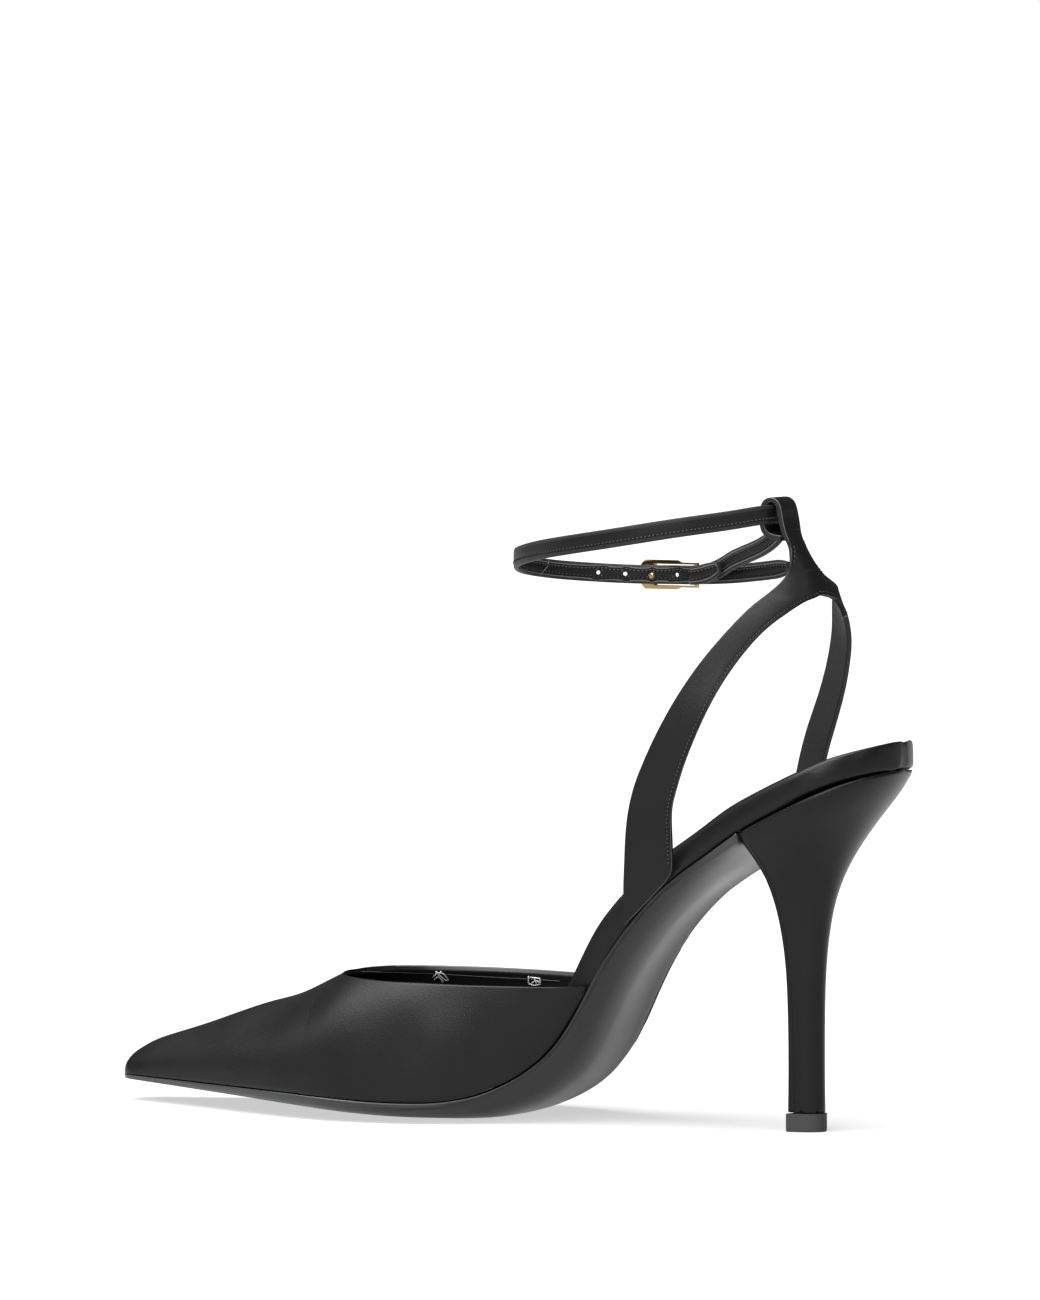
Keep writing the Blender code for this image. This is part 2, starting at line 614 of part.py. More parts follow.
def make_stay(material):
    """The back stay: two legs that rise from the feather line outside the footbed, meet at the
    crotch behind the ankle, and end in a folded tunnel for the strap."""
    legs = np.array(STAY_LEG_ROWS)
    stem = np.array(STAY_STEM_ROWS)
    joined = np.concatenate([legs, stem[:, [0, 1, 2, 3, 4, 5, 3, 4, 5, 6, 7, 8]]])
    leg_steps = 2 * len(legs)
    fine = smooth_rows(joined, 2 * len(joined) - 1)
    columns = 4
    outer = {}
    for row, values in enumerate(fine):
        inner_front, inner_back, outer_back, outer_front = (stay_point(edge) for edge in values.reshape(4, 3))
        bulge = (inner_back + outer_back) / 2 - (inner_front + outer_front) / 2
        roundness = np.clip(1 - (leg_steps - row) / STAY_ROUNDING, 0, 1)
        for step in range(columns + 1):
            t = step / columns
            swell = bulge * roundness * t * (1 - t)
            points = {-1: inner_front + (inner_back - inner_front) * t + swell,
                      1: outer_front + (outer_back - outer_front) * t + swell}
            for side, point in points.items():
                outer[(row, side, step)] = beside_footbed(point, side) if row < leg_steps else point
    rows = len(fine)
    for behind, above in TUNNEL_ROWS:
        x = place(TUNNEL_STATION) + behind * TUNNEL_ROUND
        z = LOOP_HEIGHT + above * TUNNEL_ROUND
        for step in range(columns + 1):
            y = TUNNEL_WIDTH / 2 * (1 - step / columns)
            outer[(rows, -1, step)] = np.array((x, -y, z))
            outer[(rows, 1, step)] = np.array((x, y, z))
        rows += 1

    def key_of(row, side, step):
        return (row, 0, step) if step == columns and row >= leg_steps else (row, side, step)

    points = {key_of(*key): Vector(point) for key, point in outer.items()}
    faces = []
    for row in range(rows - 1):
        for side in (-1, 1):
            for step in range(columns):
                face = [key_of(row, side, step), key_of(row, side, step + 1),
                        key_of(row + 1, side, step + 1), key_of(row + 1, side, step)]
                faces.append(face if side < 0 else face[::-1])
    normals = {key: Vector() for key in points}
    for face in faces:
        a, b, c, d = (points[key] for key in face)
        normal = (c - a).cross(d - b)
        for key in face:
            normals[key] += normal
    outside, inside = {}, {}
    for key, point in points.items():
        half = normals[key].normalized() * (STAY_THICKNESS / 2)
        outside[key] = point - half
        inside[key] = point + half
    return add_object("back_stay", thicken(faces, outside, inside), material, 50)


def strap_place(ahead, across, height):
    return Vector((place(TUNNEL_STATION) - ahead * LOOP_LENGTH, across * LOOP_WIDTH, height * LOOP_HEIGHT))


def strap_path():
    """The strap's middle line, from the end of the fold round the buckle's bar to its tip, with
    the length along it at each point, and the curves that it follows."""
    bar = strap_place(*BAR_PLACE)
    radius = BAR_DIAMETER / 2 + GAP + STRAP_THICKNESS / 2
    turn = [bar + radius * Vector((-math.sin(angle), -math.cos(angle), 0))
            for angle in np.radians((0, 45, 90, 135, 180))]
    points = [strap_place(*row) for row in FOLD_ROWS] + turn
    points += [strap_place(*row) for row in (*SHORT_ROWS, *LONG_ROWS)]
    lengths = np.concatenate([[0], np.cumsum([(b - a).length for a, b in zip(points, points[1:])])])
    coordinates = [curve(lengths, np.array([point[i] for point in points])) for i in range(3)]
    places = []
    for start, end in zip(lengths, lengths[1:]):
        pieces = max(1, round((end - start) / STRAP_STEP))
        places += [start + (end - start) * i / pieces for i in range(pieces)]
    places.append(lengths[-1])
    path = [Vector([f(at) for f in coordinates]) for at in places]
    return path, np.array(places), coordinates


def strap_frame(path, i):
    """The direction along the strap, up its width and out through its thickness."""
    before, after = path[max(i - 1, 0)], path[min(i + 1, len(path) - 1)]
    along = (after - before).normalized()
    up = Vector((0, 0, 1))
    up = (up - up.dot(along) * along).normalized()
    return along, up, along.cross(up)


def make_ankle_strap(material):
    """The strap: folded round the buckle's bar, through the tunnel, round the ankle and through
    the buckle, with its holes."""
    path_parts = strap_path()
    path = path_parts[0]
    half, thick, edge = STRAP_WIDTH / 2, STRAP_THICKNESS / 2, STRAP_EDGE
    rings = []
    for i, point in enumerate(path):
        along, up, out = strap_frame(path, i)
        narrow = STRAP_TIP_NARROW if i in (0, len(path) - 1) else 1.0
        corners = ((half - edge, thick), (half, thick - edge), (half, edge - thick), (half - edge, -thick),
                   (edge - half, -thick), (-half, edge - thick), (-half, thick - edge), (edge - half, thick))
        rings.append([point + up * a * narrow + out * b for a, b in corners])
    strap = add_object("ankle_strap", loft(rings), material, 50)
    for number in range(HOLE_COUNT):
        middle, out = strap_at(path_parts, hole_length(path_parts, number))
        add_hole(strap, middle, out)
    return strap


def hole_length(path_parts, number):
    """Length along the strap of a hole, counted from the tip's side: one holds the peg."""
    path, places, _ = path_parts
    bar = strap_place(*BAR_PLACE)
    long_end = [i for i in range(len(path)) if places[i] > places[-1] / 2]
    beside_bar = places[min(long_end, key=lambda i: (path[i] - bar).length)]
    return beside_bar - PEG_TO_BAR + (PEG_HOLE - number) * HOLE_PITCH


def strap_at(path_parts, at):
    """The strap's middle and the direction out through its thickness at a length along it."""
    coordinates = path_parts[2]
    middle = Vector([f(at) for f in coordinates])
    along = (Vector([f(at + SLOPE_STEP) for f in coordinates]) - middle).normalized()
    return middle, along.cross(Vector((0, 0, 1))).normalized()


def add_hole(strap, middle, out):
    cutter_mesh = bmesh.new()
    bmesh.ops.create_cone(cutter_mesh, cap_ends=True, segments=10, radius1=HOLE_DIAMETER / 2,
                          radius2=HOLE_DIAMETER / 2, depth=4 * STRAP_THICKNESS)
    cutter_mesh.transform(out.to_track_quat("Z", "Y").to_matrix().to_4x4())
    cutter = add_object("hole_cutter", cutter_mesh, strap.data.materials[0])
    cutter.location = middle
    cutter.hide_render = True
    cutter.display_type = "WIRE"
    cut = strap.modifiers.new("hole", "BOOLEAN")
    cut.operation = "DIFFERENCE"
    cut.solver = "EXACT"
    cut.object = cutter


def make_buckle(material):
    """The buckle: a frame with clipped corners whose front plate lies outside the strap and has a
    peg through a hole, and two rails to the bar that the strap's short end is folded round. The
    strap crosses between the rails, from inside the plate to outside the bar."""
    path_parts = strap_path()
    peg_place, peg_out = strap_at(path_parts, hole_length(path_parts, PEG_HOLE))
    peg_out = -peg_out if peg_out.y < 0 else peg_out
    bar = strap_place(*BAR_PLACE)
    start = peg_place + peg_out * (STRAP_THICKNESS / 2 + GAP + BUCKLE_THICKNESS / 2)
    reach = bar - start
    along = reach.normalized()
    up = (Vector((0, 0, 1)) - along * along.z).normalized()
    out = up.cross(along)
    out = out if out.y > 0 else -out
    clear = STRAP_WIDTH / 2 + GAP
    frame_half, rail_half = clear + FRAME_RIM, clear + RAIL_RIM
    front, back, end = -FRAME_AHEAD, FRAME_LENGTH - FRAME_AHEAD, reach.length + BAR_DIAMETER / 2
    window = FRAME_PLATE - FRAME_AHEAD
    window_end = reach.length - BAR_DIAMETER / 4
    upper = [(front, frame_half - FRAME_CLIP), (front + FRAME_CLIP, frame_half),
             (back - FRAME_CLIP, frame_half), (back, rail_half), (end, rail_half)]
    outline = upper + [(a, -b) for a, b in reversed(upper)]
    places = (window, window + FRAME_CLIP, back - FRAME_CLIP, back, window_end)
    upper = [(a, clear) for a in places]
    opening = upper + [(a, -b) for a, b in reversed(upper)]
    frame = bmesh.new()
    rings = []
    for loop, depth in ((outline, 0.5), (outline, -0.5), (opening, -0.5), (opening, 0.5)):
        rings.append([frame.verts.new(start + along * a + up * b + out * depth * BUCKLE_THICKNESS)
                      for a, b in loop])
    for ring, following in zip(rings, rings[1:] + rings[:1]):
        for i in range(len(ring)):
            j = (i + 1) % len(ring)
            frame.faces.new((ring[i], ring[j], following[j], following[i]))
    buckle = add_object("buckle", frame, material, 35)
    rod = bmesh.new()
    bmesh.ops.create_cone(rod, cap_ends=True, segments=12, radius1=BAR_DIAMETER / 2,
                          radius2=BAR_DIAMETER / 2, depth=2 * clear + RAIL_RIM)
    join(buckle, rod, bar, up, material)
    peg = bmesh.new()
    depth = STRAP_THICKNESS + BUCKLE_THICKNESS + 3 * GAP
    bmesh.ops.create_cone(peg, cap_ends=True, segments=8, radius1=PEG_DIAMETER / 2,
                          radius2=PEG_DIAMETER / 2, depth=depth)
    join(buckle, peg, start - peg_out * (depth / 2 - BUCKLE_THICKNESS / 4), peg_out, material)
    return buckle


def join(body, mesh_data, location, axis, material):
    """Fuses a small turned part into a body with a Boolean union."""
    mesh_data.transform(axis.to_track_quat("Z", "Y").to_matrix().to_4x4())
    part = add_object("buckle_part", mesh_data, material)
    part.location = location
    part.hide_render = True
    part.display_type = "WIRE"
    fuse = body.modifiers.new("fuse", "BOOLEAN")
    fuse.operation = "UNION"
    fuse.solver = "EXACT"
    fuse.object = part


def main():
    for old in list(bpy.data.objects):
        bpy.data.objects.remove(old)
    black_leather = make_material("black_leather", (0.020, 0.020, 0.022), 0.42)
    lining_leather = make_material("footbed_leather", (0.024, 0.024, 0.026), 0.45)
    sole_leather = make_material("sole_leather", (0.045, 0.048, 0.050), 0.32)
    tip_rubber = make_material("tip_rubber", (0.016, 0.016, 0.017), 0.60)
    gold_metal = make_material("gold_metal", (0.83, 0.62, 0.27), 0.25, 1.0)
    make_outsole(sole_leather)
    make_footbed(lining_leather)
    make_vamp(black_leather)
    make_heel(black_leather)
    make_top_piece(tip_rubber)
    make_stay(black_leather)
    make_ankle_strap(black_leather)
    make_buckle(gold_metal)


main()
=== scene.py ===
# %% [markdown]
# This lesson dresses a black ankle strap pump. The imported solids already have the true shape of
# the last, the wall and the straps, so every step starts from them: a copy of each is made
# smooth, and the leather, thread, varnish and metal are added to it.

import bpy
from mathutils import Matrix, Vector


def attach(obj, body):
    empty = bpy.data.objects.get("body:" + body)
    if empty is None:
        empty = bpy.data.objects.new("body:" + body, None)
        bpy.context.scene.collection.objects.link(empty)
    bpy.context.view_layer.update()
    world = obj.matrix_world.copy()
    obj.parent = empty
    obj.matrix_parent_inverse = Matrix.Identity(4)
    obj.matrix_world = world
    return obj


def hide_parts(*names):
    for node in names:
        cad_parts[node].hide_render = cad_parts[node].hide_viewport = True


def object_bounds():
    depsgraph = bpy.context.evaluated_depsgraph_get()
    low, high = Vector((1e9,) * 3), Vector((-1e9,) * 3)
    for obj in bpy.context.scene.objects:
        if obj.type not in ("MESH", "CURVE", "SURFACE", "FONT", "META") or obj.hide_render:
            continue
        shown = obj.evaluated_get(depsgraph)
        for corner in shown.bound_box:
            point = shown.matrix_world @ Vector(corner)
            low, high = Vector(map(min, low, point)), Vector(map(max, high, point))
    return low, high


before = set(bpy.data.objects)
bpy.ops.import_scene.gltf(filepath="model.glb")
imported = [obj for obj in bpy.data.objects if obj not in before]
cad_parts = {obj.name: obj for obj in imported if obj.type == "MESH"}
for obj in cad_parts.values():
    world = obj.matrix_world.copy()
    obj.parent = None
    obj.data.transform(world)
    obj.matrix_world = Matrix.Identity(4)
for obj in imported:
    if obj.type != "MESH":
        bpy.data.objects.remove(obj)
solid_box = [list(corner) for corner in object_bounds()]
print("nodes:", sorted(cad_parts))

# %% [markdown]
# No size of the shoe is typed in again here. Blender works in metres, and small sizes are easier
# to read when they are given in millimetres.

# %% Modules and the shoe's own sizes
import math

import bmesh
import bpy
import numpy as np
from mathutils import Vector
from mathutils.bvhtree import BVHTree
from mathutils.kdtree import KDTree

MILLIMETRE = 0.001
BODY = "root"
SHOE_LOW, SHOE_HIGH = (Vector(corner) for corner in solid_box)
SHOE_LENGTH = SHOE_HIGH.x - SHOE_LOW.x
print(f"shoe length {SHOE_LENGTH / MILLIMETRE:.1f} mm")

# %% [markdown]
# The camera stands where the photograph was taken from: behind the shoe, on its inner side and
# a little above the floor. It could be set by eye, but the ground lines of the shoe give its
# angle, its distance and its scale, and the position then follows from one known point, the
# middle of the top piece on the floor.

# %% Camera
IMAGE_WIDTH, IMAGE_HEIGHT = 1040, 1300
AZIMUTH, ELEVATION = math.radians(28), math.radians(2.8)
CAMERA_DISTANCE = 3.0
PIXELS_PER_METRE = 3650
ORIGIN_PIXEL = (809, 1131)
SENSOR = 36.0

focal_pixels = PIXELS_PER_METRE * CAMERA_DISTANCE
camera_back = Vector((math.sin(AZIMUTH) * math.cos(ELEVATION),
                      -math.cos(AZIMUTH) * math.cos(ELEVATION), math.sin(ELEVATION)))
camera_right = Vector((math.cos(AZIMUTH), math.sin(AZIMUTH), 0))
camera_up = camera_back.cross(camera_right)
origin_across = (ORIGIN_PIXEL[0] - IMAGE_WIDTH / 2) / focal_pixels
origin_up = -(ORIGIN_PIXEL[1] - IMAGE_HEIGHT / 2) / focal_pixels
camera_place = CAMERA_DISTANCE * (camera_back - origin_across * camera_right - origin_up * camera_up)

camera_data = bpy.data.cameras.new("camera")
camera_data.sensor_fit = "VERTICAL"
camera_data.sensor_height = SENSOR
camera_data.lens = SENSOR * focal_pixels / IMAGE_HEIGHT
camera_data.clip_end = 20
camera = bpy.data.objects.new("camera", camera_data)
camera.location = camera_place
camera.rotation_euler = camera_back.to_track_quat("Z", "Y").to_euler()
bpy.context.scene.collection.objects.link(camera)
bpy.context.scene.camera = camera
print("camera at", [round(value, 3) for value in camera_place], "lens", round(camera_data.lens, 1))

# %% [markdown]
# The photograph has a white studio: a pale floor that runs on into a white wall. Black leather
# shows mostly what it mirrors, so the wall is white only where the camera sees it, and dim to
# the leather, as a photographer hangs black cloth beside the camera. The shadows are nearly
# white too, as on a light table, so the floor also glows a little by itself.

# %% Wall and floor
FLOOR_SIZE = 80.0
FLOOR_COLOR = (0.22, 0.22, 0.22)
FLOOR_ROUGHNESS = 0.7
FLOOR_GLOW = 0.58
FILL_STRENGTH = 0.06


def plain_material(name, color, roughness):
    material = bpy.data.materials.new(name)
    material.use_nodes = True
    shader = material.node_tree.nodes["Principled BSDF"]
    shader.inputs["Base Color"].default_value = (*color, 1)
    shader.inputs["Roughness"].default_value = roughness
    return material


def make_world():
    """White where the camera looks past the shoe, and a dim fill for everything else."""
    world = bpy.data.worlds.new("studio")
    world.use_nodes = True
    tree = world.node_tree
    fill = tree.nodes["Background"]
    fill.inputs["Color"].default_value = (1, 1, 1, 1)
    fill.inputs["Strength"].default_value = FILL_STRENGTH
    wall = tree.nodes.new("ShaderNodeBackground")
    wall.inputs["Color"].default_value = (1, 1, 1, 1)
    choice = tree.nodes.new("ShaderNodeMixShader")
    seen = tree.nodes.new("ShaderNodeLightPath")
    tree.links.new(seen.outputs["Is Camera Ray"], choice.inputs["Fac"])
    tree.links.new(fill.outputs["Background"], choice.inputs[1])
    tree.links.new(wall.outputs["Background"], choice.inputs[2])
    tree.links.new(choice.outputs["Shader"], tree.nodes["World Output"].inputs["Surface"])
    bpy.context.scene.world = world


def make_floor():
    half = FLOOR_SIZE / 2
    mesh = bpy.data.meshes.new("floor")
    mesh.from_pydata([(-half, -half, 0), (half, -half, 0), (half, half, 0), (-half, half, 0)],
                     [], [(0, 1, 2, 3)])
    pale = plain_material("pale_floor", FLOOR_COLOR, FLOOR_ROUGHNESS)
    shader = pale.node_tree.nodes["Principled BSDF"]
    shader.inputs["Emission Color"].default_value = (1, 1, 1, 1)
    shader.inputs["Emission Strength"].default_value = FLOOR_GLOW
    mesh.materials.append(pale)
    floor = bpy.data.objects.new("floor", mesh)
    bpy.context.scene.collection.objects.link(floor)


bpy.context.scene.view_settings.view_transform = "Standard"
make_world()
make_floor()
print("floor:", FLOOR_SIZE, "m square")

# %% [markdown]
# One very large soft light hangs above, and weak lamps from the sides draw the edges of the heel
# and the toe. A large area lamp above would leave the far floor darker than the near one. A sun
# lamp with a wide disc gives the same soft shadows without fall-off, so the floor stays even.

# %% Lamps
SOFT_BOX = {"strength": 10.0, "disc": 66, "tilt": (16, -10)}      # degrees about X and Y
SIDE_LIGHTS = (
    # name, place, size, power
    ("heel_side", (1.3, -0.5, 0.7), 0.5, 3.0),
    ("toe_side", (-1.5, -0.5, 0.8), 0.6, 3.0),
    ("near_heel", (0.4, -1.45, 0.8), 0.7, 15.0),
)


def add_lamp(name, light, place, turn):
    lamp = bpy.data.objects.new(name, light)
    lamp.location = place
    lamp.rotation_euler = turn
    bpy.context.scene.collection.objects.link(lamp)


def add_soft_box(strength, disc, tilt):
    light = bpy.data.lights.new("soft_box", "SUN")
    light.energy = strength
    light.angle = math.radians(disc)
    add_lamp("soft_box", light, (0, 0, 2), (math.radians(tilt[0]), math.radians(tilt[1]), 0))


def add_side_light(name, place, size, power):
    light = bpy.data.lights.new(name, "AREA")
    light.shape = "SQUARE"
    light.size = size
    light.energy = power
    towards_shoe = Vector(place) - (SHOE_LOW + SHOE_HIGH) / 2
    add_lamp(name, light, place, towards_shoe.to_track_quat("Z", "Y").to_euler())


add_soft_box(**SOFT_BOX)
for side_light in SIDE_LIGHTS:
    add_side_light(*side_light)
print("lights:", ["soft_box", *(side_light[0] for side_light in SIDE_LIGHTS)])

# %% [markdown]
# Every finish below is a tree of nodes. They could be put together by hand in the node editor,
# but written out they can be read and used again. Three helpers keep that short: one begins a
# node group, one adds a node with its settings, and one adds a sum or a product.

# %% Helpers for node trees


def new_group(name, inputs, outputs):
    """A shader node group with float inputs {name: value} and outputs {name: socket type}."""
    group = bpy.data.node_groups.new(name, "ShaderNodeTree")
    for label, value in inputs.items():
        socket = group.interface.new_socket(label, in_out="INPUT", socket_type="NodeSocketFloat")
        socket.default_value = value
    for label, kind in outputs.items():
        group.interface.new_socket(label, in_out="OUTPUT", socket_type=kind)
    return group, group.nodes.new("NodeGroupInput"), group.nodes.new("NodeGroupOutput")


def add_node(tree, kind, settings=None, values=None):
    """A node with its settings and the values of its unlinked inputs."""
    node = tree.nodes.new(kind)
    for name, value in (settings or {}).items():
        setattr(node, name, value)
    for name, value in (values or {}).items():
        node.inputs[name].default_value = value
    return node


def math_node(tree, operation, first, second):
    node = add_node(tree, "ShaderNodeMath", {"operation": operation})
    for socket, value in zip(node.inputs, (first, second)):
        if hasattr(value, "links"):
            tree.links.new(value, socket)
        else:
            socket.default_value = value
    return node.outputs[0]


print("helpers for groups, nodes and sums are ready")

# %% [markdown]
# Smooth calf leather isn't flat: pores and fine wrinkles break its highlights, and dye and
# finish lie on it a little unevenly. A photograph of leather could be wrapped round the shoe,
# but a pattern worked out in the shader has no seams and stays sharp close up. Every leather
# here shares it, so it is a node group with the grain's size as an input.

# %% Leather grain group
WRINKLE_SCALE = 0.3                     # wrinkles to one grain, side by side


def leather_grain_group():
    group, given, result = new_group(
        "leather_grain", {"Grains per Metre": 2200.0, "Wrinkle Share": 0.35},
        {"Height": "NodeSocketFloat", "Mottle": "NodeSocketFloat"})
    links = group.links
    place = add_node(group, "ShaderNodeTexCoord").outputs["Object"]
    cells = add_node(group, "ShaderNodeTexVoronoi", {"feature": "SMOOTH_F1"},
                     {"Smoothness": 0.6, "Randomness": 1.0})
    wrinkles = add_node(group, "ShaderNodeTexNoise", None, {"Detail": 6.0, "Roughness": 0.62})
    mottle = add_node(group, "ShaderNodeTexNoise", None, {"Scale": 38.0, "Detail": 4.0})
    for node in (cells, wrinkles, mottle):
        links.new(place, node.inputs["Vector"])
    links.new(given.outputs["Grains per Metre"], cells.inputs["Scale"])
    wrinkles_per_metre = math_node(group, "MULTIPLY", given.outputs["Grains per Metre"], WRINKLE_SCALE)
    links.new(wrinkles_per_metre, wrinkles.inputs["Scale"])
    wrinkled = math_node(group, "MULTIPLY", wrinkles.outputs["Fac"], given.outputs["Wrinkle Share"])
    links.new(math_node(group, "ADD", cells.outputs["Distance"], wrinkled), result.inputs["Height"])
    links.new(mottle.outputs["Fac"], result.inputs["Mottle"])
    return group


GRAIN_GROUP = leather_grain_group()
print("group", GRAIN_GROUP.name, "outputs", [item.name for item in GRAIN_GROUP.interface.items_tree])

# %% [markdown]
# The upper is black calf with a satin finish. Its colour is nearly constant, so what the eye
# reads is the highlight: the mottle moves the roughness a little, and the grain bends the light
# through a bump. The lining, the cover of the heel and the footbed are the same leather with
# other values, so one function makes them all.

# %% Leather materials
MOTTLE_LOW, MOTTLE_HIGH = 0.3, 0.7      # where a noise texture has most of its values


def leather_material(name, dark, light, smooth, rough, grains, depth, gloss=0.16):
    """Leather between two colours and two roughnesses, with pores of a given depth in metres."""
    material = bpy.data.materials.new(name)
    material.use_nodes = True
    tree = material.node_tree
    shader = tree.nodes["Principled BSDF"]
    shader.inputs["Specular IOR Level"].default_value = gloss
    grain = add_node(tree, "ShaderNodeGroup", {"node_tree": GRAIN_GROUP}, {"Grains per Metre": grains})
    tint = add_node(tree, "ShaderNodeMix", {"data_type": "RGBA"})
    tint.inputs["A"].default_value = (*dark, 1)
    tint.inputs["B"].default_value = (*light, 1)
    satin = add_node(tree, "ShaderNodeMapRange", None, {"From Min": MOTTLE_LOW, "From Max": MOTTLE_HIGH,
                                                        "To Min": smooth, "To Max": rough})
    bump = add_node(tree, "ShaderNodeBump", None, {"Strength": 1.0, "Distance": depth})
    tree.links.new(grain.outputs["Mottle"], tint.inputs["Factor"])
    tree.links.new(tint.outputs["Result"], shader.inputs["Base Color"])
    tree.links.new(grain.outputs["Mottle"], satin.inputs["Value"])
    tree.links.new(satin.outputs["Result"], shader.inputs["Roughness"])
    tree.links.new(grain.outputs["Height"], bump.inputs["Height"])
    tree.links.new(bump.outputs["Normal"], shader.inputs["Normal"])
    return material


BLACK_DARK, BLACK_LIGHT = (0.003, 0.003, 0.0035), (0.007, 0.007, 0.0075)
# name, dark and light colour, least and most roughness, grains per metre, depth in metres
upper_leather = leather_material("upper_leather", BLACK_DARK, BLACK_LIGHT, 0.36, 0.46, 2400, 0.00003)
strap_leather = leather_material("strap_leather", BLACK_DARK, BLACK_LIGHT, 0.34, 0.46, 2800, 0.00004)
footbed_leather = leather_material("footbed_leather", BLACK_DARK, BLACK_LIGHT, 0.30, 0.40, 2600, 0.00003)
heel_leather = leather_material("heel_leather", BLACK_DARK, BLACK_LIGHT, 0.27, 0.36, 2600, 0.00002)
lining_leather = leather_material("lining_leather", (0.007, 0.007, 0.008), (0.014, 0.014, 0.015),
                                  0.45, 0.58, 3000, 0.00005)
edge_paint = leather_material("edge_paint", (0.010, 0.010, 0.011), (0.020, 0.019, 0.018),
                              0.40, 0.55, 3600, 0.00006)
# painted highlight: a pale colour on cut corners and fine lines stands in for the light they catch
painted_edge_highlight = leather_material("painted_edge_highlight", (0.045, 0.043, 0.042), (0.130, 0.125, 0.120),
                               0.42, 0.55, 3600, 0.00004)
print("leathers:", [material.name for material in bpy.data.materials if "leather" in material.name])

# %% [markdown]
# The underside of the sole is leather too, but it is filled, dyed and varnished, so it mirrors
# the pale floor like a lacquered board. Its polish drifts a little, and faint brush streaks run
# along the foot. The same drift and streaks, with other values, make the moulded rubber of the
# top piece and the polished metal of the buckle. The buckle's gold is darker than gold is: painted
# shade for the dark surroundings that it mirrors.

# %% Sole varnish, rubber and metal
STREAK_STRETCH = (0.06, 1, 0.06)        # a small number draws the noise out along that axis


def streak_group():
    group, given, result = new_group("lengthwise_streaks", {"Streaks per Metre": 900.0},
                                     {"Height": "NodeSocketFloat", "Mask": "NodeSocketFloat"})
    place = add_node(group, "ShaderNodeTexCoord").outputs["Object"]
    squash = add_node(group, "ShaderNodeVectorMath", {"operation": "MULTIPLY"})
    squash.inputs[1].default_value = STREAK_STRETCH
    streaks = add_node(group, "ShaderNodeTexNoise", None, {"Detail": 3.0})
    cloud = add_node(group, "ShaderNodeTexNoise", None, {"Scale": 45.0, "Detail": 3.0})
    group.links.new(place, squash.inputs[0])
    group.links.new(squash.outputs[0], streaks.inputs["Vector"])
    group.links.new(given.outputs["Streaks per Metre"], streaks.inputs["Scale"])
    group.links.new(place, cloud.inputs["Vector"])
    group.links.new(streaks.outputs["Fac"], result.inputs["Height"])
    group.links.new(cloud.outputs["Fac"], result.inputs["Mask"])
    return group


STREAK_GROUP = streak_group()


def streaked_material(name, dark, light, smooth, rough, streaks, depth, metallic=0.0):
    """A finish whose colour and roughness drift, with fine streaks along the shoe."""
    material = bpy.data.materials.new(name)
    material.use_nodes = True
    tree = material.node_tree
    shader = tree.nodes["Principled BSDF"]
    shader.inputs["Metallic"].default_value = metallic
    streak = add_node(tree, "ShaderNodeGroup", {"node_tree": STREAK_GROUP}, {"Streaks per Metre": streaks})
    tint = add_node(tree, "ShaderNodeMix", {"data_type": "RGBA"})
    tint.inputs["A"].default_value = (*dark, 1)
    tint.inputs["B"].default_value = (*light, 1)
    finish = add_node(tree, "ShaderNodeMapRange", None, {"From Min": MOTTLE_LOW, "From Max": MOTTLE_HIGH,
                                                         "To Min": smooth, "To Max": rough})
    bump = add_node(tree, "ShaderNodeBump", None, {"Strength": 1.0, "Distance": depth})
    tree.links.new(streak.outputs["Mask"], tint.inputs["Factor"])
    tree.links.new(tint.outputs["Result"], shader.inputs["Base Color"])
    tree.links.new(streak.outputs["Mask"], finish.inputs["Value"])
    tree.links.new(finish.outputs["Result"], shader.inputs["Roughness"])
    tree.links.new(streak.outputs["Height"], bump.inputs["Height"])
    tree.links.new(bump.outputs["Normal"], shader.inputs["Normal"])
    return material


def darken_and_dull(material, color, roughness):
    """Darkens and dulls a finish where the mesh's edge_band says so."""
    tree = material.node_tree
    shader = tree.nodes["Principled BSDF"]
    band = add_node(tree, "ShaderNodeAttribute", {"attribute_name": "edge_band"})
    for socket, kind, value in (("Base Color", "RGBA", (*color, 1)), ("Roughness", "FLOAT", roughness)):
        blend = add_node(tree, "ShaderNodeMix", {"data_type": kind})
        entries = [item for item in blend.inputs if item.enabled]
        tree.links.new(band.outputs["Fac"], entries[0])
        tree.links.new(shader.inputs[socket].links[0].from_socket, entries[1])
        entries[2].default_value = value
        tree.links.new([item for item in blend.outputs if item.enabled][0], shader.inputs[socket])


sole_varnish = streaked_material("sole_varnish", (0.012, 0.013, 0.014), (0.020, 0.022, 0.022),
                                 0.28, 0.38, 700, 0.00002)
# a darker, duller finish along the sole's waist edges, where edge_band is high
darken_and_dull(sole_varnish, color=(0.005, 0.005, 0.005), roughness=0.62)
tip_rubber = streaked_material("tip_rubber", (0.010, 0.010, 0.010), (0.020, 0.020, 0.020),
                               0.50, 0.68, 1500, 0.00005)
# painted shade: the gold's colour is darkened to stand in for the dark surroundings it mirrors
shade_darkened_gold = streaked_material("shade_darkened_gold", (0.24, 0.165, 0.070), (0.36, 0.26, 0.12),
                              0.10, 0.20, 3000, 0.00001, metallic=1.0)
thread_black = leather_material("black_thread", (0.030, 0.030, 0.030), (0.090, 0.090, 0.090),
                                0.45, 0.6, 9000, 0.00008)
# painted shade: a dull black tube or dimple put where a groove, a needle hole or a fold holds shade
painted_shade_black = leather_material("painted_shade_black", (0.003, 0.003, 0.003), (0.006, 0.006, 0.006),
                                0.7, 0.8, 3000, 0.00002)
thread_pale = leather_material("pale_thread", (0.52, 0.52, 0.50), (0.70, 0.70, 0.68),
                               0.6, 0.75, 9000, 0.00008)
print("materials:", len(bpy.data.materials))

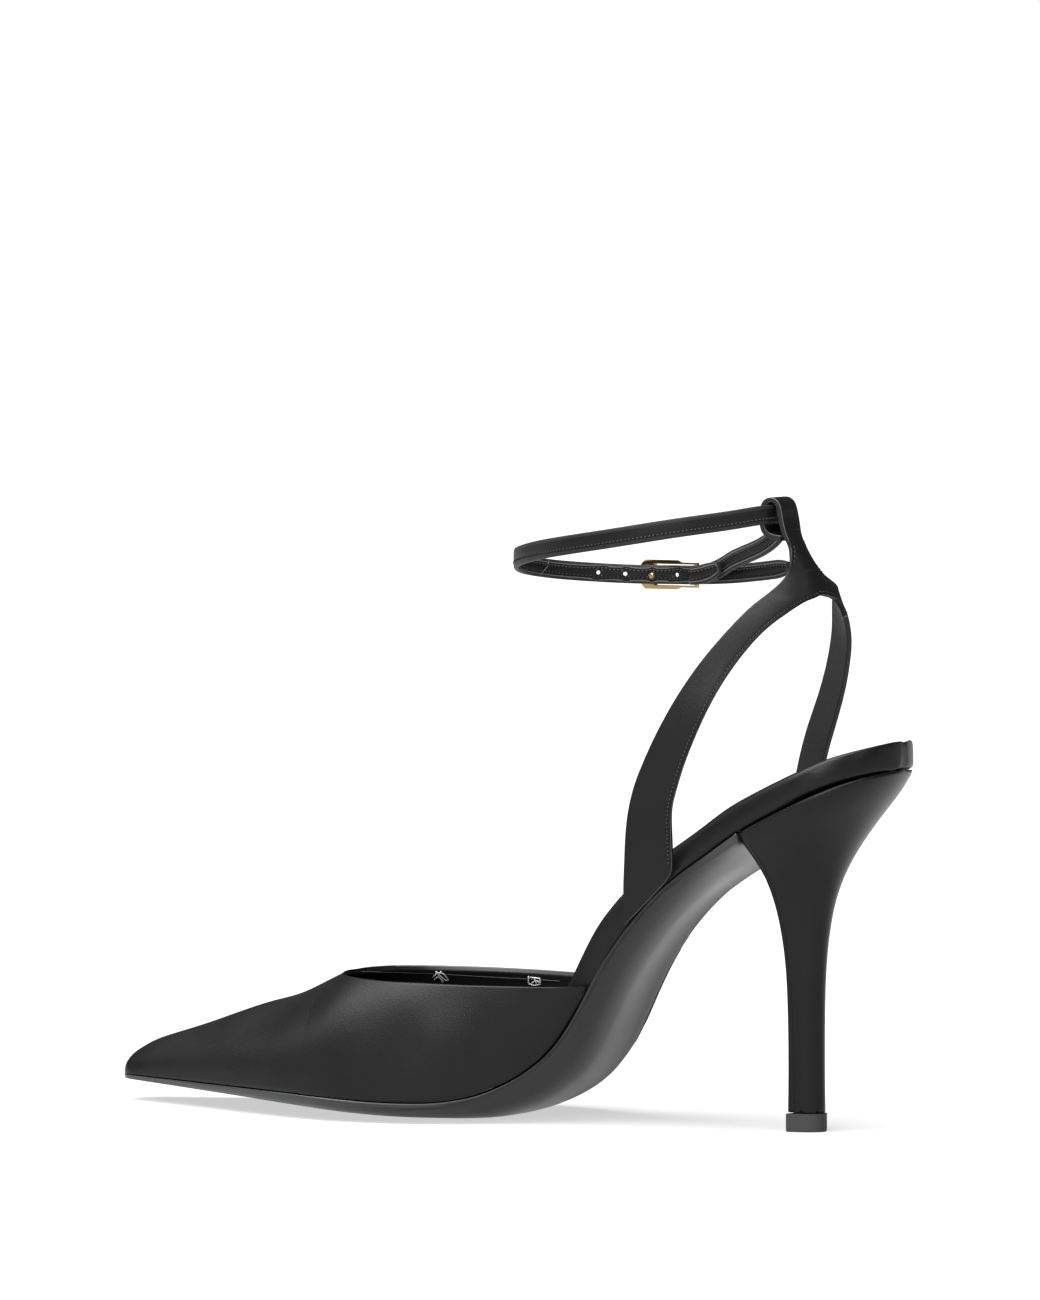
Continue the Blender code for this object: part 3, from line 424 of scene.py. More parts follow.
# %% [markdown]
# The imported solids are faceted. Redrawing each surface would risk leaving its true shape, so a
# copy of the solid is merged into a closed mesh, its triangles are joined into four-sided faces
# and a subdivision surface rounds it. Real corners, such as the edge of a wall, are creased so
# that they stay crisp.

# %% Closed copies of the solids
SAME_CORNER = 0.01 * MILLIMETRE
JOIN_FLATNESS = math.radians(25)        # most bend between two triangles that become one face
JOIN_SKEW = math.radians(80)            # most departure of that face's corners from square


def merged_copy(node):
    """The solid of a node as one closed bmesh with mostly four-sided faces."""
    mesh_data = bmesh.new()
    mesh_data.from_mesh(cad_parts[node].data)
    bmesh.ops.remove_doubles(mesh_data, verts=mesh_data.verts, dist=SAME_CORNER)
    bmesh.ops.join_triangles(mesh_data, faces=mesh_data.faces, cmp_seam=False, cmp_sharp=False,
                             cmp_uvs=False, cmp_vcols=False, cmp_materials=False,
                             angle_face_threshold=JOIN_FLATNESS, angle_shape_threshold=JOIN_SKEW)
    return mesh_data


def mark_creases(mesh_data, sharp_degrees, crease):
    layer = mesh_data.edges.layers.float.new("crease_edge")
    for edge in mesh_data.edges:
        if edge.calc_face_angle(0) > math.radians(sharp_degrees):
            edge[layer] = crease


print("solids to copy:", [name for name in sorted(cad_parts) if name != "top_piece"])

# %% [markdown]
# An upper is a wall of leather with an outside, an inside and a narrow edge, and each has its own
# finish. The faces could be picked one by one by hand. Here a ray looks into the wall from each
# face instead: through the wall it soon comes out, but from the edge it runs on inside it.

# %% Faces on the edge of a wall
PROBE_START = 0.05                      # millimetres under a face
WALL_REACH = 1.25                       # wall thicknesses


def wall_faces(mesh_data, thickness):
    """Faces that close a thin wall round its edges: looking inwards from them, the far side is
    further away than the wall is thick."""
    tree = BVHTree.FromBMesh(mesh_data)
    edges = set()
    for face in mesh_data.faces:
        start = face.calc_center_median() - face.normal * PROBE_START * MILLIMETRE
        hit = tree.ray_cast(start, -face.normal)
        if hit[3] is None or hit[3] > WALL_REACH * thickness:
            edges.add(face.index)
    return edges


print("edge faces see more than", WALL_REACH, "wall thicknesses")

# %% [markdown]
# Leather bends in one smooth sweep. A subdivision surface could stay live on the piece, but the
# next steps move its corners and sort its faces, so the rounded result is turned into a plain
# mesh. The finished piece then rides on the shoe in place of its solid.

# %% Rounded pieces
ROUNDING, FINE_ROUNDING = 2, 3          # subdivision levels


def smooth_piece(name, mesh_data, levels, materials):
    """An object from a bmesh, subdivided and made plain."""
    mesh = bpy.data.meshes.new(name)
    mesh_data.to_mesh(mesh)
    mesh_data.free()
    for material in materials:
        mesh.materials.append(material)
    rough = bpy.data.objects.new(name + "_rough", mesh)
    bpy.context.scene.collection.objects.link(rough)
    rounding = rough.modifiers.new("rounding", "SUBSURF")
    rounding.levels = rounding.render_levels = levels
    evaluated = rough.evaluated_get(bpy.context.evaluated_depsgraph_get())
    plain = bpy.data.meshes.new_from_object(evaluated)
    bpy.data.objects.remove(rough)
    plain.name = name
    plain.shade_smooth()
    piece = bpy.data.objects.new(name, plain)
    bpy.context.scene.collection.objects.link(piece)
    print(name, len(plain.polygons), "faces")
    return piece


def stand_in(piece, node):
    """The piece rides on the shoe in place of its solid."""
    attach(piece, BODY)
    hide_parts(node)


print("levels:", ROUNDING, "and for the sewn straps", FINE_ROUNDING)

# %% [markdown]
# Some details are known only from where they show in the photograph: two thread tacks, a joint,
# a seam. Their places could be guessed in metres and corrected, but it is surer to name the
# picture point: a ray from the camera through it finds the place on the surface that carries it.

# %% Places by picture point


def surface_tree(piece):
    mesh = piece.data
    return BVHTree.FromPolygons([corner.co for corner in mesh.vertices],
                                [face.vertices for face in mesh.polygons])


def seen_place(tree, point):
    """Place and normal where the camera's ray through a picture point meets a surface."""
    across = (float(point[0]) - IMAGE_WIDTH / 2) / focal_pixels
    down = (float(point[1]) - IMAGE_HEIGHT / 2) / focal_pixels
    ray = (across * camera_right - down * camera_up - camera_back).normalized()
    place, normal = tree.ray_cast(camera_place, ray)[:2]
    return place, (-normal if place and normal.dot(ray) > 0 else normal)


def seen_line(tree, points, lift, steps=6):
    """Places on a surface along a line of picture points, lifted off it, without the misses."""
    fine = [np.add(a, np.subtract(b, a) * step / steps)
            for a, b in zip(points, points[1:]) for step in range(steps)]
    seen = [seen_place(tree, point) for point in [*fine, points[-1]]]
    return [place + normal * lift for place, normal in seen if place]


print(f"a picture point is {1 / PIXELS_PER_METRE / MILLIMETRE:.2f} mm wide on the shoe")

# %% [markdown]
# A seam or a thread is far thinner than any face of the shoe. A curve with a round bevel would do,
# but a tube drawn from rings of six corners is a plain mesh from the start. Each ring takes its
# direction from the one before, bent only as far as the line bends, so that the tube never twists.

# %% Fine lines


def add_piece(name, mesh, materials):
    for material in materials:
        mesh.materials.append(material)
    mesh.shade_smooth()
    piece = bpy.data.objects.new(name, mesh)
    bpy.context.scene.collection.objects.link(piece)
    return piece


def swept_line(name, lines, radius, material, sides=6):
    """Round tubes along lines of places, with closed ends, as one riding piece."""
    places, faces = [], []
    for line in lines:
        for i, place in enumerate(line):
            along = (line[min(i + 1, len(line) - 1)] - line[max(i - 1, 0)]).normalized()
            away = along.orthogonal() if i == 0 else first - along * first.dot(along)
            first = away.normalized()
            second = along.cross(first)
            base = len(places)
            for step in range(sides):
                turn = 2 * math.pi * step / sides
                places.append(place + radius * (math.cos(turn) * first + math.sin(turn) * second))
            if i:
                faces += [(base - sides + step, base - sides + (step + 1) % sides, base + (step + 1) % sides,
                           base + step) for step in range(sides)]
            if i in (0, len(line) - 1):
                cap = tuple(base + step for step in range(sides))
                faces.append(cap if i else cap[::-1])
    mesh = bpy.data.meshes.new(name)
    mesh.from_pydata([tuple(place) for place in places], [], faces)
    piece = add_piece(name, mesh, [material])
    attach(piece, BODY)
    print(name, len(lines), "lines,", len(faces), "faces")
    return piece


# %% [markdown]
# Creases, grooves and the pared waist of the sole all move a surface by a little. The corners
# could be moved one at a time, but Blender would work out the normals again after each. So all
# places are taken out as one table of numbers, moved together and put back.

# %% Moving a surface


def places_and_normals(piece):
    """The corners of a piece and its normals there, as rows of numbers."""
    count = len(piece.data.vertices)
    places, normals = np.empty(3 * count), np.empty(3 * count)
    piece.data.vertices.foreach_get("co", places)
    piece.data.vertex_normals.foreach_get("vector", normals)
    return places.reshape(-1, 3), normals.reshape(-1, 3)


def move_to(piece, places):
    piece.data.vertices.foreach_set("co", np.ravel(places))
    piece.data.update()


# %% [markdown]
# A pale line along the cut corner of leather is a painted highlight, for the light that the edge
# catches, and seams run beside it. Both follow the border of a skin of leather. It could be drawn
# as a curve, but where two kinds of face meet in a smooth copy, the border is already there, and
# it is only walked from corner to corner.

# %% Borders and painted edge highlights


def border_edges(piece, skin, wall):
    """Edges where a face of the skin meets a face of the wall: (edge, skin face, wall face)."""
    faces_of = {}
    for face in piece.data.polygons:
        for key in face.edge_keys:
            faces_of.setdefault(key, []).append(face)
    found = []
    for key, faces in sorted(faces_of.items()):
        if sorted(face.material_index for face in faces) == sorted((skin, wall)):
            found.append((key, *sorted(faces, key=lambda face: face.material_index != skin)))
    return found


def walk_border(piece, skin, wall):
    """Chains of (place, way in from the edge) along the border of a skin."""
    corners = piece.data.vertices
    links, ways = {}, {}
    for (a, b), face, _ in border_edges(piece, skin, wall):
        along = (corners[b].co - corners[a].co).normalized()
        way = face.center - corners[a].co
        way = (way - along * way.dot(along)).normalized()
        for end, other in ((a, b), (b, a)):
            links.setdefault(end, []).append(other)
            ways[end] = ways.get(end, Vector()) + way
    chains, left = [], set(links)
    while left:
        chain = [min(left, key=lambda corner: (len(links[corner]), corner))]
        left.remove(chain[0])
        while onward := sorted(set(links[chain[-1]]) & left):
            chain.append(onward[0])
            left.remove(onward[0])
        chains.append([(corners[corner].co.copy(), ways[corner].normalized()) for corner in chain])
    return chains


def paint_edge_highlights(piece, skin, wall, material):
    """The faces of a wall that touch the skin get a pale material: a painted highlight along the edge."""
    piece.data.materials.append(material)
    highlight_slot = len(piece.data.materials) - 1
    for _, _, face in border_edges(piece, skin, wall):
        face.material_index = highlight_slot


# %% [markdown]
# A maker guides the needle along the edge of the leather at one distance, and the thread pulls
# a shallow groove into it. So a row of stitches is the border's walk, moved in and put back on
# the surface, and every corner near it sinks a little.

# %% Rows set in from an edge
LEAST_STEP = 0.15 * MILLIMETRE          # between two places of a row
LEAST_ROW = 5                           # a row has more places than this
GROOVE_REACH = 3                        # groove widths that a pressed row moves


def rows_along(piece, chains, inset, keep):
    """Rows of (place, outward) set in from the border wherever keep(place, way in) holds."""
    tree = surface_tree(piece)
    rows = []
    for chain in chains:
        kept = [keep(place, way) for place, way in chain]
        start = kept.index(False) if False in kept else 0
        row = []
        for i in range(len(chain) + 1):
            place, way = chain[(start + i) % len(chain)]
            if i < len(chain) and kept[(start + i) % len(chain)]:
                spot, outward = tree.find_nearest(place + inset * way)[:2]
                if not row or (spot - row[-1][0]).length > LEAST_STEP:
                    row.append((spot, outward))
            else:
                if len(row) > LEAST_ROW:
                    rows.append(row)
                row = []
    return rows


def press_rows(piece, rows, width, depth):
    """A shallow groove in the surface along each row."""
    spots = [(a[0].lerp(b[0], share), a[1])
             for row in rows for a, b in zip(row, row[1:]) for share in (0, 0.5)]
    near = KDTree(len(spots))
    for i, (spot, _) in enumerate(spots):
        near.insert(spot, i)
    near.balance()
    places, _ = places_and_normals(piece)
    for corner, place in enumerate(places):
        _, i, distance = near.find(place)
        if distance < GROOVE_REACH * width:
            places[corner] -= np.array(spots[i][1]) * depth * math.exp(-(distance / width) ** 2)
    move_to(piece, places)


# %% [markdown]
# A stitch is less than a millimetre of thread that dips into a hole at both ends. Modelling each
# one by hand would be endless, so Geometry Nodes walk along the rows, put one small thread at
# every pitch, lay it on the leather by the row's outward direction and let it lean a little at
# random.

# %% Stitch nodes
STITCH_SEGMENTS, STITCH_RINGS = 8, 5


def stitch_nodes():
    tree = bpy.data.node_groups.new("stitch_row", "GeometryNodeTree")
    for label, kind in (("Rows", "Geometry"), ("Pitch", "Float"), ("Size", "Vector"), ("Lean", "Float"),
                        ("Seed", "Int"), ("Thread", "Material")):
        tree.interface.new_socket(label, in_out="INPUT", socket_type="NodeSocket" + kind)
    tree.interface.new_socket("Stitches", in_out="OUTPUT", socket_type="NodeSocketGeometry")
    link = tree.links.new
    given = tree.nodes.new("NodeGroupInput").outputs
    curve = add_node(tree, "GeometryNodeMeshToCurve")
    spaced = add_node(tree, "GeometryNodeCurveToPoints", {"mode": "LENGTH"})
    outward = add_node(tree, "GeometryNodeInputNamedAttribute", {"data_type": "FLOAT_VECTOR"},
                       {"Name": "outward"})
    laid = add_node(tree, "FunctionNodeAxesToRotation", {"primary_axis": "Z", "secondary_axis": "X"})
    chance = add_node(tree, "FunctionNodeRandomValue", {"data_type": "FLOAT"})
    least = math_node(tree, "MULTIPLY", given["Lean"], -1.0)
    angle = add_node(tree, "ShaderNodeCombineXYZ")
    lean = add_node(tree, "FunctionNodeEulerToRotation")
    turned = add_node(tree, "FunctionNodeRotateRotation", {"rotation_space": "LOCAL"})
    thread = add_node(tree, "GeometryNodeMeshUVSphere", None,
                      {"Segments": STITCH_SEGMENTS, "Rings": STITCH_RINGS, "Radius": 0.5})
    placed = add_node(tree, "GeometryNodeInstanceOnPoints")
    real = add_node(tree, "GeometryNodeRealizeInstances")
    colored = add_node(tree, "GeometryNodeSetMaterial")
    chance_min, chance_max = [item for item in chance.inputs if item.enabled][:2]
    link(given["Rows"], curve.inputs["Mesh"])
    link(curve.outputs["Curve"], spaced.inputs["Curve"])
    link(given["Pitch"], spaced.inputs["Length"])
    link(outward.outputs["Attribute"], laid.inputs["Primary Axis"])
    link(spaced.outputs["Tangent"], laid.inputs["Secondary Axis"])
    link(least, chance_min)
    link(given["Lean"], chance_max)
    link(given["Seed"], chance.inputs["Seed"])
    link([item for item in chance.outputs if item.enabled][0], angle.inputs["Z"])
    link(angle.outputs["Vector"], lean.inputs["Euler"])
    link(laid.outputs["Rotation"], turned.inputs["Rotation"])
    link(lean.outputs["Rotation"], turned.inputs["Rotate By"])
    link(spaced.outputs["Points"], placed.inputs["Points"])
    link(thread.outputs["Mesh"], placed.inputs["Instance"])
    link(turned.outputs["Rotation"], placed.inputs["Rotation"])
    link(given["Size"], placed.inputs["Scale"])
    link(placed.outputs["Instances"], real.inputs["Geometry"])
    link(real.outputs["Geometry"], colored.inputs["Geometry"])
    link(given["Thread"], colored.inputs["Material"])
    link(colored.outputs["Geometry"], tree.nodes.new("NodeGroupOutput").inputs["Stitches"])
    return tree


STITCH_NODES = stitch_nodes()
print("stitch nodes:", len(STITCH_NODES.nodes))

# %% [markdown]
# A machine sews about nine stitches to a centimetre here, and its needle leaves a hole between
# each two, dark with shade. The rows become a mesh of loose edges that carries its outward
# directions, and the nodes sew along it. The holes are the same work with a dimple of painted
# shade, half a pitch further on.

# %% Sewing
STITCH_PITCH = 1.15 * MILLIMETRE
STITCH_LENGTH = 0.70 * MILLIMETRE
STITCH_WIDTH = 0.30 * MILLIMETRE
STITCH_SIZE = (STITCH_LENGTH, STITCH_WIDTH, 0.8 * STITCH_WIDTH)
STITCH_LEAN = math.radians(7)
STITCH_SEED = 7
HOLE_SIZE = (0.62 * MILLIMETRE, 0.55 * MILLIMETRE, 0.30 * MILLIMETRE)


def half_pitch_on(row):
    """The same row, begun half a pitch later."""
    return [entry for entry in row if (entry[0] - row[0][0]).length > STITCH_PITCH / 2]


def sew(name, rows, thread, size=STITCH_SIZE):
    """One riding piece with a stitch at every pitch of the rows."""
    places, edges, outward = [], [], []
    for row in rows:
        edges += [(len(places) + i, len(places) + i + 1) for i in range(len(row) - 1)]
        places += [spot for spot, _ in row]
        outward += [way for _, way in row]
    mesh = bpy.data.meshes.new(name + "_rows")
    mesh.from_pydata(places, edges, [])
    mesh.attributes.new("outward", "FLOAT_VECTOR", "POINT").data.foreach_set("vector", np.ravel(outward))
    rough = bpy.data.objects.new(name + "_rows", mesh)
    bpy.context.scene.collection.objects.link(rough)
    machine = rough.modifiers.new("machine", "NODES")
    machine.node_group = STITCH_NODES
    values = {"Pitch": STITCH_PITCH, "Size": size, "Lean": STITCH_LEAN, "Seed": STITCH_SEED, "Thread": thread}
    for item in STITCH_NODES.interface.items_tree:
        if item.name in values:
            machine[item.identifier] = values[item.name]
    evaluated = rough.evaluated_get(bpy.context.evaluated_depsgraph_get())
    plain = bpy.data.meshes.new_from_object(evaluated)
    bpy.data.objects.remove(rough)
    plain.name = name
    piece = add_piece(name, plain, [])
    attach(piece, BODY)
    print(name, len(rows), "rows,", len(plain.polygons) // (STITCH_SEGMENTS * STITCH_RINGS), "stitches")


# %% [markdown]
# Leather that has been pulled over a last and worn round a foot is never quite even. The main
# creases are listed in shares of the shoe's length: soft troughs and ridges a few
# millimetres wide that lift or sink the smooth copy.

# %% Creases


def crease(piece, table):
    """Moves a surface along its normals by soft, leaning troughs and ridges. Columns of a table:
    ahead, across and height of the middle, as shares of the shoe's length; lean in degrees; how
    long, deep and wide it is, and how far it goes out, in millimetres."""
    places, normals = places_and_normals(piece)
    move = np.zeros(len(places))
    for ahead, across, height, lean, long, deep, wide, out in table:
        middle = (SHOE_HIGH.x - ahead * SHOE_LENGTH, across * SHOE_LENGTH, height * SHOE_LENGTH)
        x, y, z = ((places - middle) / MILLIMETRE).T
        turn = math.radians(lean)
        along = x * math.sin(turn) + z * math.cos(turn)
        over = x * math.cos(turn) - z * math.sin(turn)
        move += out * np.exp(-(along / long) ** 2 - (y / deep) ** 2 - (over / wide) ** 2)
    move_to(piece, places + normals * move[:, None] * MILLIMETRE)
    print(piece.name, len(table), "creases")


# %% [markdown]
# The sole of a fine shoe is bevelled along the waist, where the maker pares its edge. The finish
# is also made darker and duller there, so a dark band runs along the foot and fades towards the
# heel and the ball. Paring is a small move of the surface, and the band is a value kept in the mesh.

# %% Outsole
BAND_WIDTH = 22.0 * MILLIMETRE
BAND_DROP = 1.4 * MILLIMETRE
BAND_FADES = {"heel": (-0.012, -0.034), "ball": (-0.135, -0.105)}      # x where it starts, is full
BAND_FILL = 1.6                         # the darkening is full before the edge is reached
STATION = 2 * MILLIMETRE                # steps along the foot at which its width is taken
UNDERSIDE = -0.1                        # faces whose normal's z is less look down
outsole_data = merged_copy("outsole")
mark_creases(outsole_data, sharp_degrees=32, crease=0.8)
outsole = smooth_piece("leather_sole", outsole_data, ROUNDING, [sole_varnish])


def bevel_waist(piece):
    """Pares the underside towards its edges along the waist and marks the dark band."""
    places, normals = places_and_normals(piece)
    x, y = places[:, 0], places[:, 1]
    stations = np.arange(x.min(), x.max(), STATION)
    inwards = np.zeros(len(x))
    for side in (-1, 1):
        wide = [(side * y[np.abs(x - station) < STATION]).max() for station in stations]
        own = side * y > 0
        inwards[own] = (np.interp(x, stations, wide) - side * y)[own]
    share = np.clip(1 - inwards / BAND_WIDTH, 0, 1)
    for start, full in BAND_FADES.values():
        share *= np.clip((x - start) / (full - start), 0, 1)
    band = piece.data.attributes.new("edge_band", "FLOAT", "POINT")
    band.data.foreach_set("value", np.minimum(BAND_FILL * share, 1))
    drop = np.where(normals[:, 2] < UNDERSIDE, BAND_DROP * share ** 2, 0)
    move_to(piece, places - normals * drop[:, None])


bevel_waist(outsole)
stand_in(outsole, "outsole")

# %% [markdown]
# The footbed is a thin pad under leather, and the heel is a hard core wrapped in the same calf.
# Both are plain soft shapes that could be drawn again with a few curves, but their solids
# already hold the true form, so a smooth copy is enough. Only the rim of the footbed and the
# edges of the heel are creased, because the real ones turn quickly there.

# %% Footbed and heel
footbed_data = merged_copy("footbed")
mark_creases(footbed_data, sharp_degrees=75, crease=0.5)
footbed = smooth_piece("padded_footbed", footbed_data, ROUNDING, [footbed_leather])
stand_in(footbed, "footbed")

heel_data = merged_copy("heel")
mark_creases(heel_data, sharp_degrees=40, crease=0.75)
heel = smooth_piece("covered_heel", heel_data, ROUNDING, [heel_leather])
stand_in(heel, "heel")

# %% [markdown]
# The leather of a covered heel is turned in at its breast, which leaves a fine seam down each
# side. A groove could be cut into the mesh, but at this width a dark line of painted shade just
# under the surface looks the same. The near one follows the photograph, and the far one is its
# mirror image.

# %% Heel cover seams, drawn as lines of painted shade
HEEL_SEAM_POINTS = ((750, 846), (764, 866), (775, 893), (785, 933), (791, 991), (793.5, 1050), (794, 1104))
HEEL_SEAM_SINK = 0.05 * MILLIMETRE
HEEL_SEAM_RADIUS = 0.14 * MILLIMETRE
near_seam = seen_line(surface_tree(heel), HEEL_SEAM_POINTS, -HEEL_SEAM_SINK)
far_seam = [Vector((place.x, -place.y, place.z)) for place in near_seam]
# painted shade along the heel cover's seams
swept_line("heel_seam_shade_lines", [near_seam, far_seam], HEEL_SEAM_RADIUS, painted_shade_black)

# %% [markdown]
# The vamp is one wall of leather and lining. Its outer face is calf and its inner face is
# lining, and at the topline the calf is folded over the edge. The faces are sorted by which
# way they look: away from the inside of the foot or towards it.

# %% Vamp
VAMP_WALL = 1.8 * MILLIMETRE
FOOT_MIDDLE = 0.35                      # height of the inside of the foot, as a share of a place's own
VAMP_CREASES = (
    # ahead, across, height; lean; long, deep, wide, out
    (0.535, -0.125, 0.108, -22, 12.0, 14.0, 4.5, 0.28),
    (0.582, -0.120, 0.098, -20, 12.0, 14.0, 5.5, -0.25),
    (0.545, -0.130, 0.058, -30, 3.5, 12.0, 4.0, 0.22),
    (0.480, -0.120, 0.100, -12, 14.0, 14.0, 6.0, -0.22),
    (0.722, 0.000, 0.170, 0, 9.0, 15.0, 6.5, -0.80),
    (0.800, 0.020, 0.120, 0, 8.0, 18.0, 10.0, 0.20),
)


def sort_wall(mesh_data, thickness, middle):
    """Material index by side: 0 outside, 1 inside, 2 the edge between them. middle gives a
    point inside the foot for any place on the wall."""
    mesh_data.faces.ensure_lookup_table()
    edges = wall_faces(mesh_data, thickness)
    for face in mesh_data.faces:
        centre = face.calc_center_median()
        if face.index in edges:
            face.material_index = 2
        else:
            face.material_index = 0 if face.normal.dot(centre - middle(centre)) > 0 else 1


vamp_data = merged_copy("vamp")
mark_creases(vamp_data, sharp_degrees=60, crease=0.7)
sort_wall(vamp_data, VAMP_WALL, lambda place: Vector((place.x, 0, FOOT_MIDDLE * place.z)))
vamp = smooth_piece("pointed_vamp", vamp_data, ROUNDING, [upper_leather, lining_leather, upper_leather])
crease(vamp, VAMP_CREASES)
# painted highlight along the vamp's cut edge
paint_edge_highlights(vamp, 0, 2, painted_edge_highlight)
stand_in(vamp, "vamp")

# %% [markdown]
# Inside the vamp the edge of the lining shows as a fine pale line, a painted highlight along that
# edge, and two small tangles of pale thread hold it to the calf. A tangle follows no rule, so its
# few strokes are drawn as picture points, and the camera's rays lay them on the wall that they are
# sewn to.

# %% Lining seam and thread tacks
LINING_SEAM_LIFT, LINING_SEAM_RADIUS = 0.05 * MILLIMETRE, 0.12 * MILLIMETRE
TACK_LIFT, TACK_RADIUS = 0.25 * MILLIMETRE, 0.2 * MILLIMETRE
TACK_STEPS = 3
LINING_SEAM_POINTS = ((362, 971.5), (380, 972), (400, 972.5), (440, 974), (490, 977), (527, 979), (560, 981))
TACK_SHAPES = {
    # picture point: strokes of thread about it, in pixels
    (440, 976): (((-7, 1), (-3, -4), (3, -3), (8, 2)), ((-6, 3), (0, -1), (6, 4), (9, 3)),
                 ((-4, -5), (0, 1), (3, 6)), ((1, -5), (-2, 0), (4, 5))),
    (535, 980): (((-6, -4), (-6, 3), (-1, 5), (6, 4), (5, -2), (-4, -3)), ((-3, 3), (1, 0), (5, 2)),
                 ((0, -2), (2, 4))),
}
inner_wall = surface_tree(vamp)
lining_seam = seen_line(inner_wall, LINING_SEAM_POINTS, LINING_SEAM_LIFT)
# painted highlight: a pale tube along the lining's edge
swept_line("lining_seam", [lining_seam], LINING_SEAM_RADIUS, painted_edge_highlight)
tacks = [seen_line(inner_wall, [np.add(point, offset) for offset in stroke], TACK_LIFT, TACK_STEPS)
         for point, strokes in TACK_SHAPES.items() for stroke in strokes]
swept_line("thread_tacks", tacks, TACK_RADIUS, thread_pale)

# %% [markdown]
# The forked back stay is two layers of calf, glued, stitched and cut to width, with its cut
# edges painted. It gets the vamp's treatment, one level finer, because its stitch rows press a
# groove of a tenth of a millimetre into it. The rows could be drawn on by hand, but a real one
# keeps its distance from the edge, so each is the border of the skin, moved in.

# %% Back stay
STAY_THICKNESS = 1.6 * MILLIMETRE
STAY_INSET = 0.95 * MILLIMETRE
STAY_GROOVE = (0.35 * MILLIMETRE, 0.10 * MILLIMETRE)                   # width, depth
LOOP_MIDDLE = Vector((-53 * MILLIMETRE, 0, 0))
BACK_WAY = 0.35                         # most lean forwards of the way in from a leg's back edge
STAY_CREASES = (
    # ahead, across, height; lean; long, deep, wide, out
    (0.112, -0.012, 0.632, 72, 3.0, 4.0, 0.55, -0.20),
    (0.116, -0.006, 0.628, 60, 2.2, 4.0, 0.45, 0.14),
    (0.108, -0.004, 0.637, 84, 2.6, 4.0, 0.50, -0.16),
)

stay_data = merged_copy("back_stay")
mark_creases(stay_data, sharp_degrees=55, crease=0.75)
sort_wall(stay_data, STAY_THICKNESS, lambda place: Vector((LOOP_MIDDLE.x, 0, place.z)))
stay = smooth_piece("forked_stay", stay_data, FINE_ROUNDING, [upper_leather, lining_leather, edge_paint])
CROTCH_HEIGHT, STEM_LOW, STEM_HIGH = (share * SHOE_HIGH.z for share in (0.852, 0.880, 0.928))
LEG_FEET = {-1: 0.425 * SHOE_HIGH.z, 1: 0.505 * SHOE_HIGH.z}


def on_stay_seam(place, way):
    """Up the back edges of the legs as far as the crotch, and up the edges of the stem."""
    foot = LEG_FEET[1 if place.y > 0 else -1]
    back = foot < place.z < CROTCH_HEIGHT and way.x < BACK_WAY * way.z
    return back or STEM_LOW < place.z < STEM_HIGH


crease(stay, STAY_CREASES)
stay_rows = rows_along(stay, walk_border(stay, 0, 2), STAY_INSET, on_stay_seam)
press_rows(stay, stay_rows, *STAY_GROOVE)
# painted highlight along the stay's cut edges
paint_edge_highlights(stay, 0, 2, painted_edge_highlight)
sew("stay_stitches", stay_rows, thread_black)
# painted shade in the stay's needle holes
sew("stay_needle_hole_shade", [half_pitch_on(row) for row in stay_rows], painted_shade_black, HOLE_SIZE)
stand_in(stay, "back_stay")

# %% [markdown]
# The top of the stay is folded over the strap to carry it, and the stitching that closes the
# loop shows as one short dark line under the fold, drawn as painted shade. It is too small to need
# a groove of its own.

# %% Seam under the fold, as a line of painted shade
FOLD_SEAM_POINTS = ((789, 529), (794, 530), (800, 529))
FOLD_SEAM_RADIUS = 0.12 * MILLIMETRE
fold_seam_shade = seen_line(surface_tree(stay), FOLD_SEAM_POINTS, lift=0.0)
# painted shade where the seam sinks under the fold
swept_line("fold_seam_shade", [fold_seam_shade], FOLD_SEAM_RADIUS, painted_shade_black)

# %% [markdown]
# The ankle strap is two thin layers of calf as well, sewn close to both edges and painted where
# it is cut. It is so narrow that looking through it can't tell an edge from a face, so faces
# that look up or down are sorted as its edge. Outside, only the lower row of stitches shows.

# %% Ankle strap
STRAP_THICKNESS = 1.5 * MILLIMETRE
STRAP_INSET = 0.6 * MILLIMETRE
STRAP_GROOVE = (0.3 * MILLIMETRE, 0.06 * MILLIMETRE)                   # width, depth
EDGE_LEAN = 0.4                         # a cut edge's normal is steeper than this
STEEP = 0.6                             # the way in from a long edge is steeper than this

strap_data = merged_copy("ankle_strap")
mark_creases(strap_data, sharp_degrees=60, crease=0.6)
sort_wall(strap_data, STRAP_THICKNESS, lambda place: Vector((LOOP_MIDDLE.x, 0, place.z)))
for face in strap_data.faces:
    if abs(face.normal.z) > EDGE_LEAN:
        face.material_index = 2
strap = smooth_piece("thin_strap", strap_data, FINE_ROUNDING, [strap_leather, strap_leather, edge_paint])
strap_rows = rows_along(strap, walk_border(strap, 0, 2), STRAP_INSET, lambda place, way: way.z > STEEP)
strap_rows += rows_along(strap, walk_border(strap, 1, 2), STRAP_INSET,
                         lambda place, way: abs(way.z) > STEEP)
press_rows(strap, strap_rows, *STRAP_GROOVE)
# painted highlight along the strap's cut edges, on its lining side
paint_edge_highlights(strap, 1, 2, painted_edge_highlight)
sew("strap_stitches", strap_rows, thread_black)
# painted shade in the strap's needle holes
sew("strap_needle_hole_shade", [half_pitch_on(row) for row in strap_rows], painted_shade_black, HOLE_SIZE)
stand_in(strap, "ankle_strap")

# %% [markdown]
# The lining of the strap is pieced from two lengths, cut at a slant so that the joint stays
# thin. Only its edge shows, as a pale slanting line, and a fine pale tube draws it as a painted
# highlight.

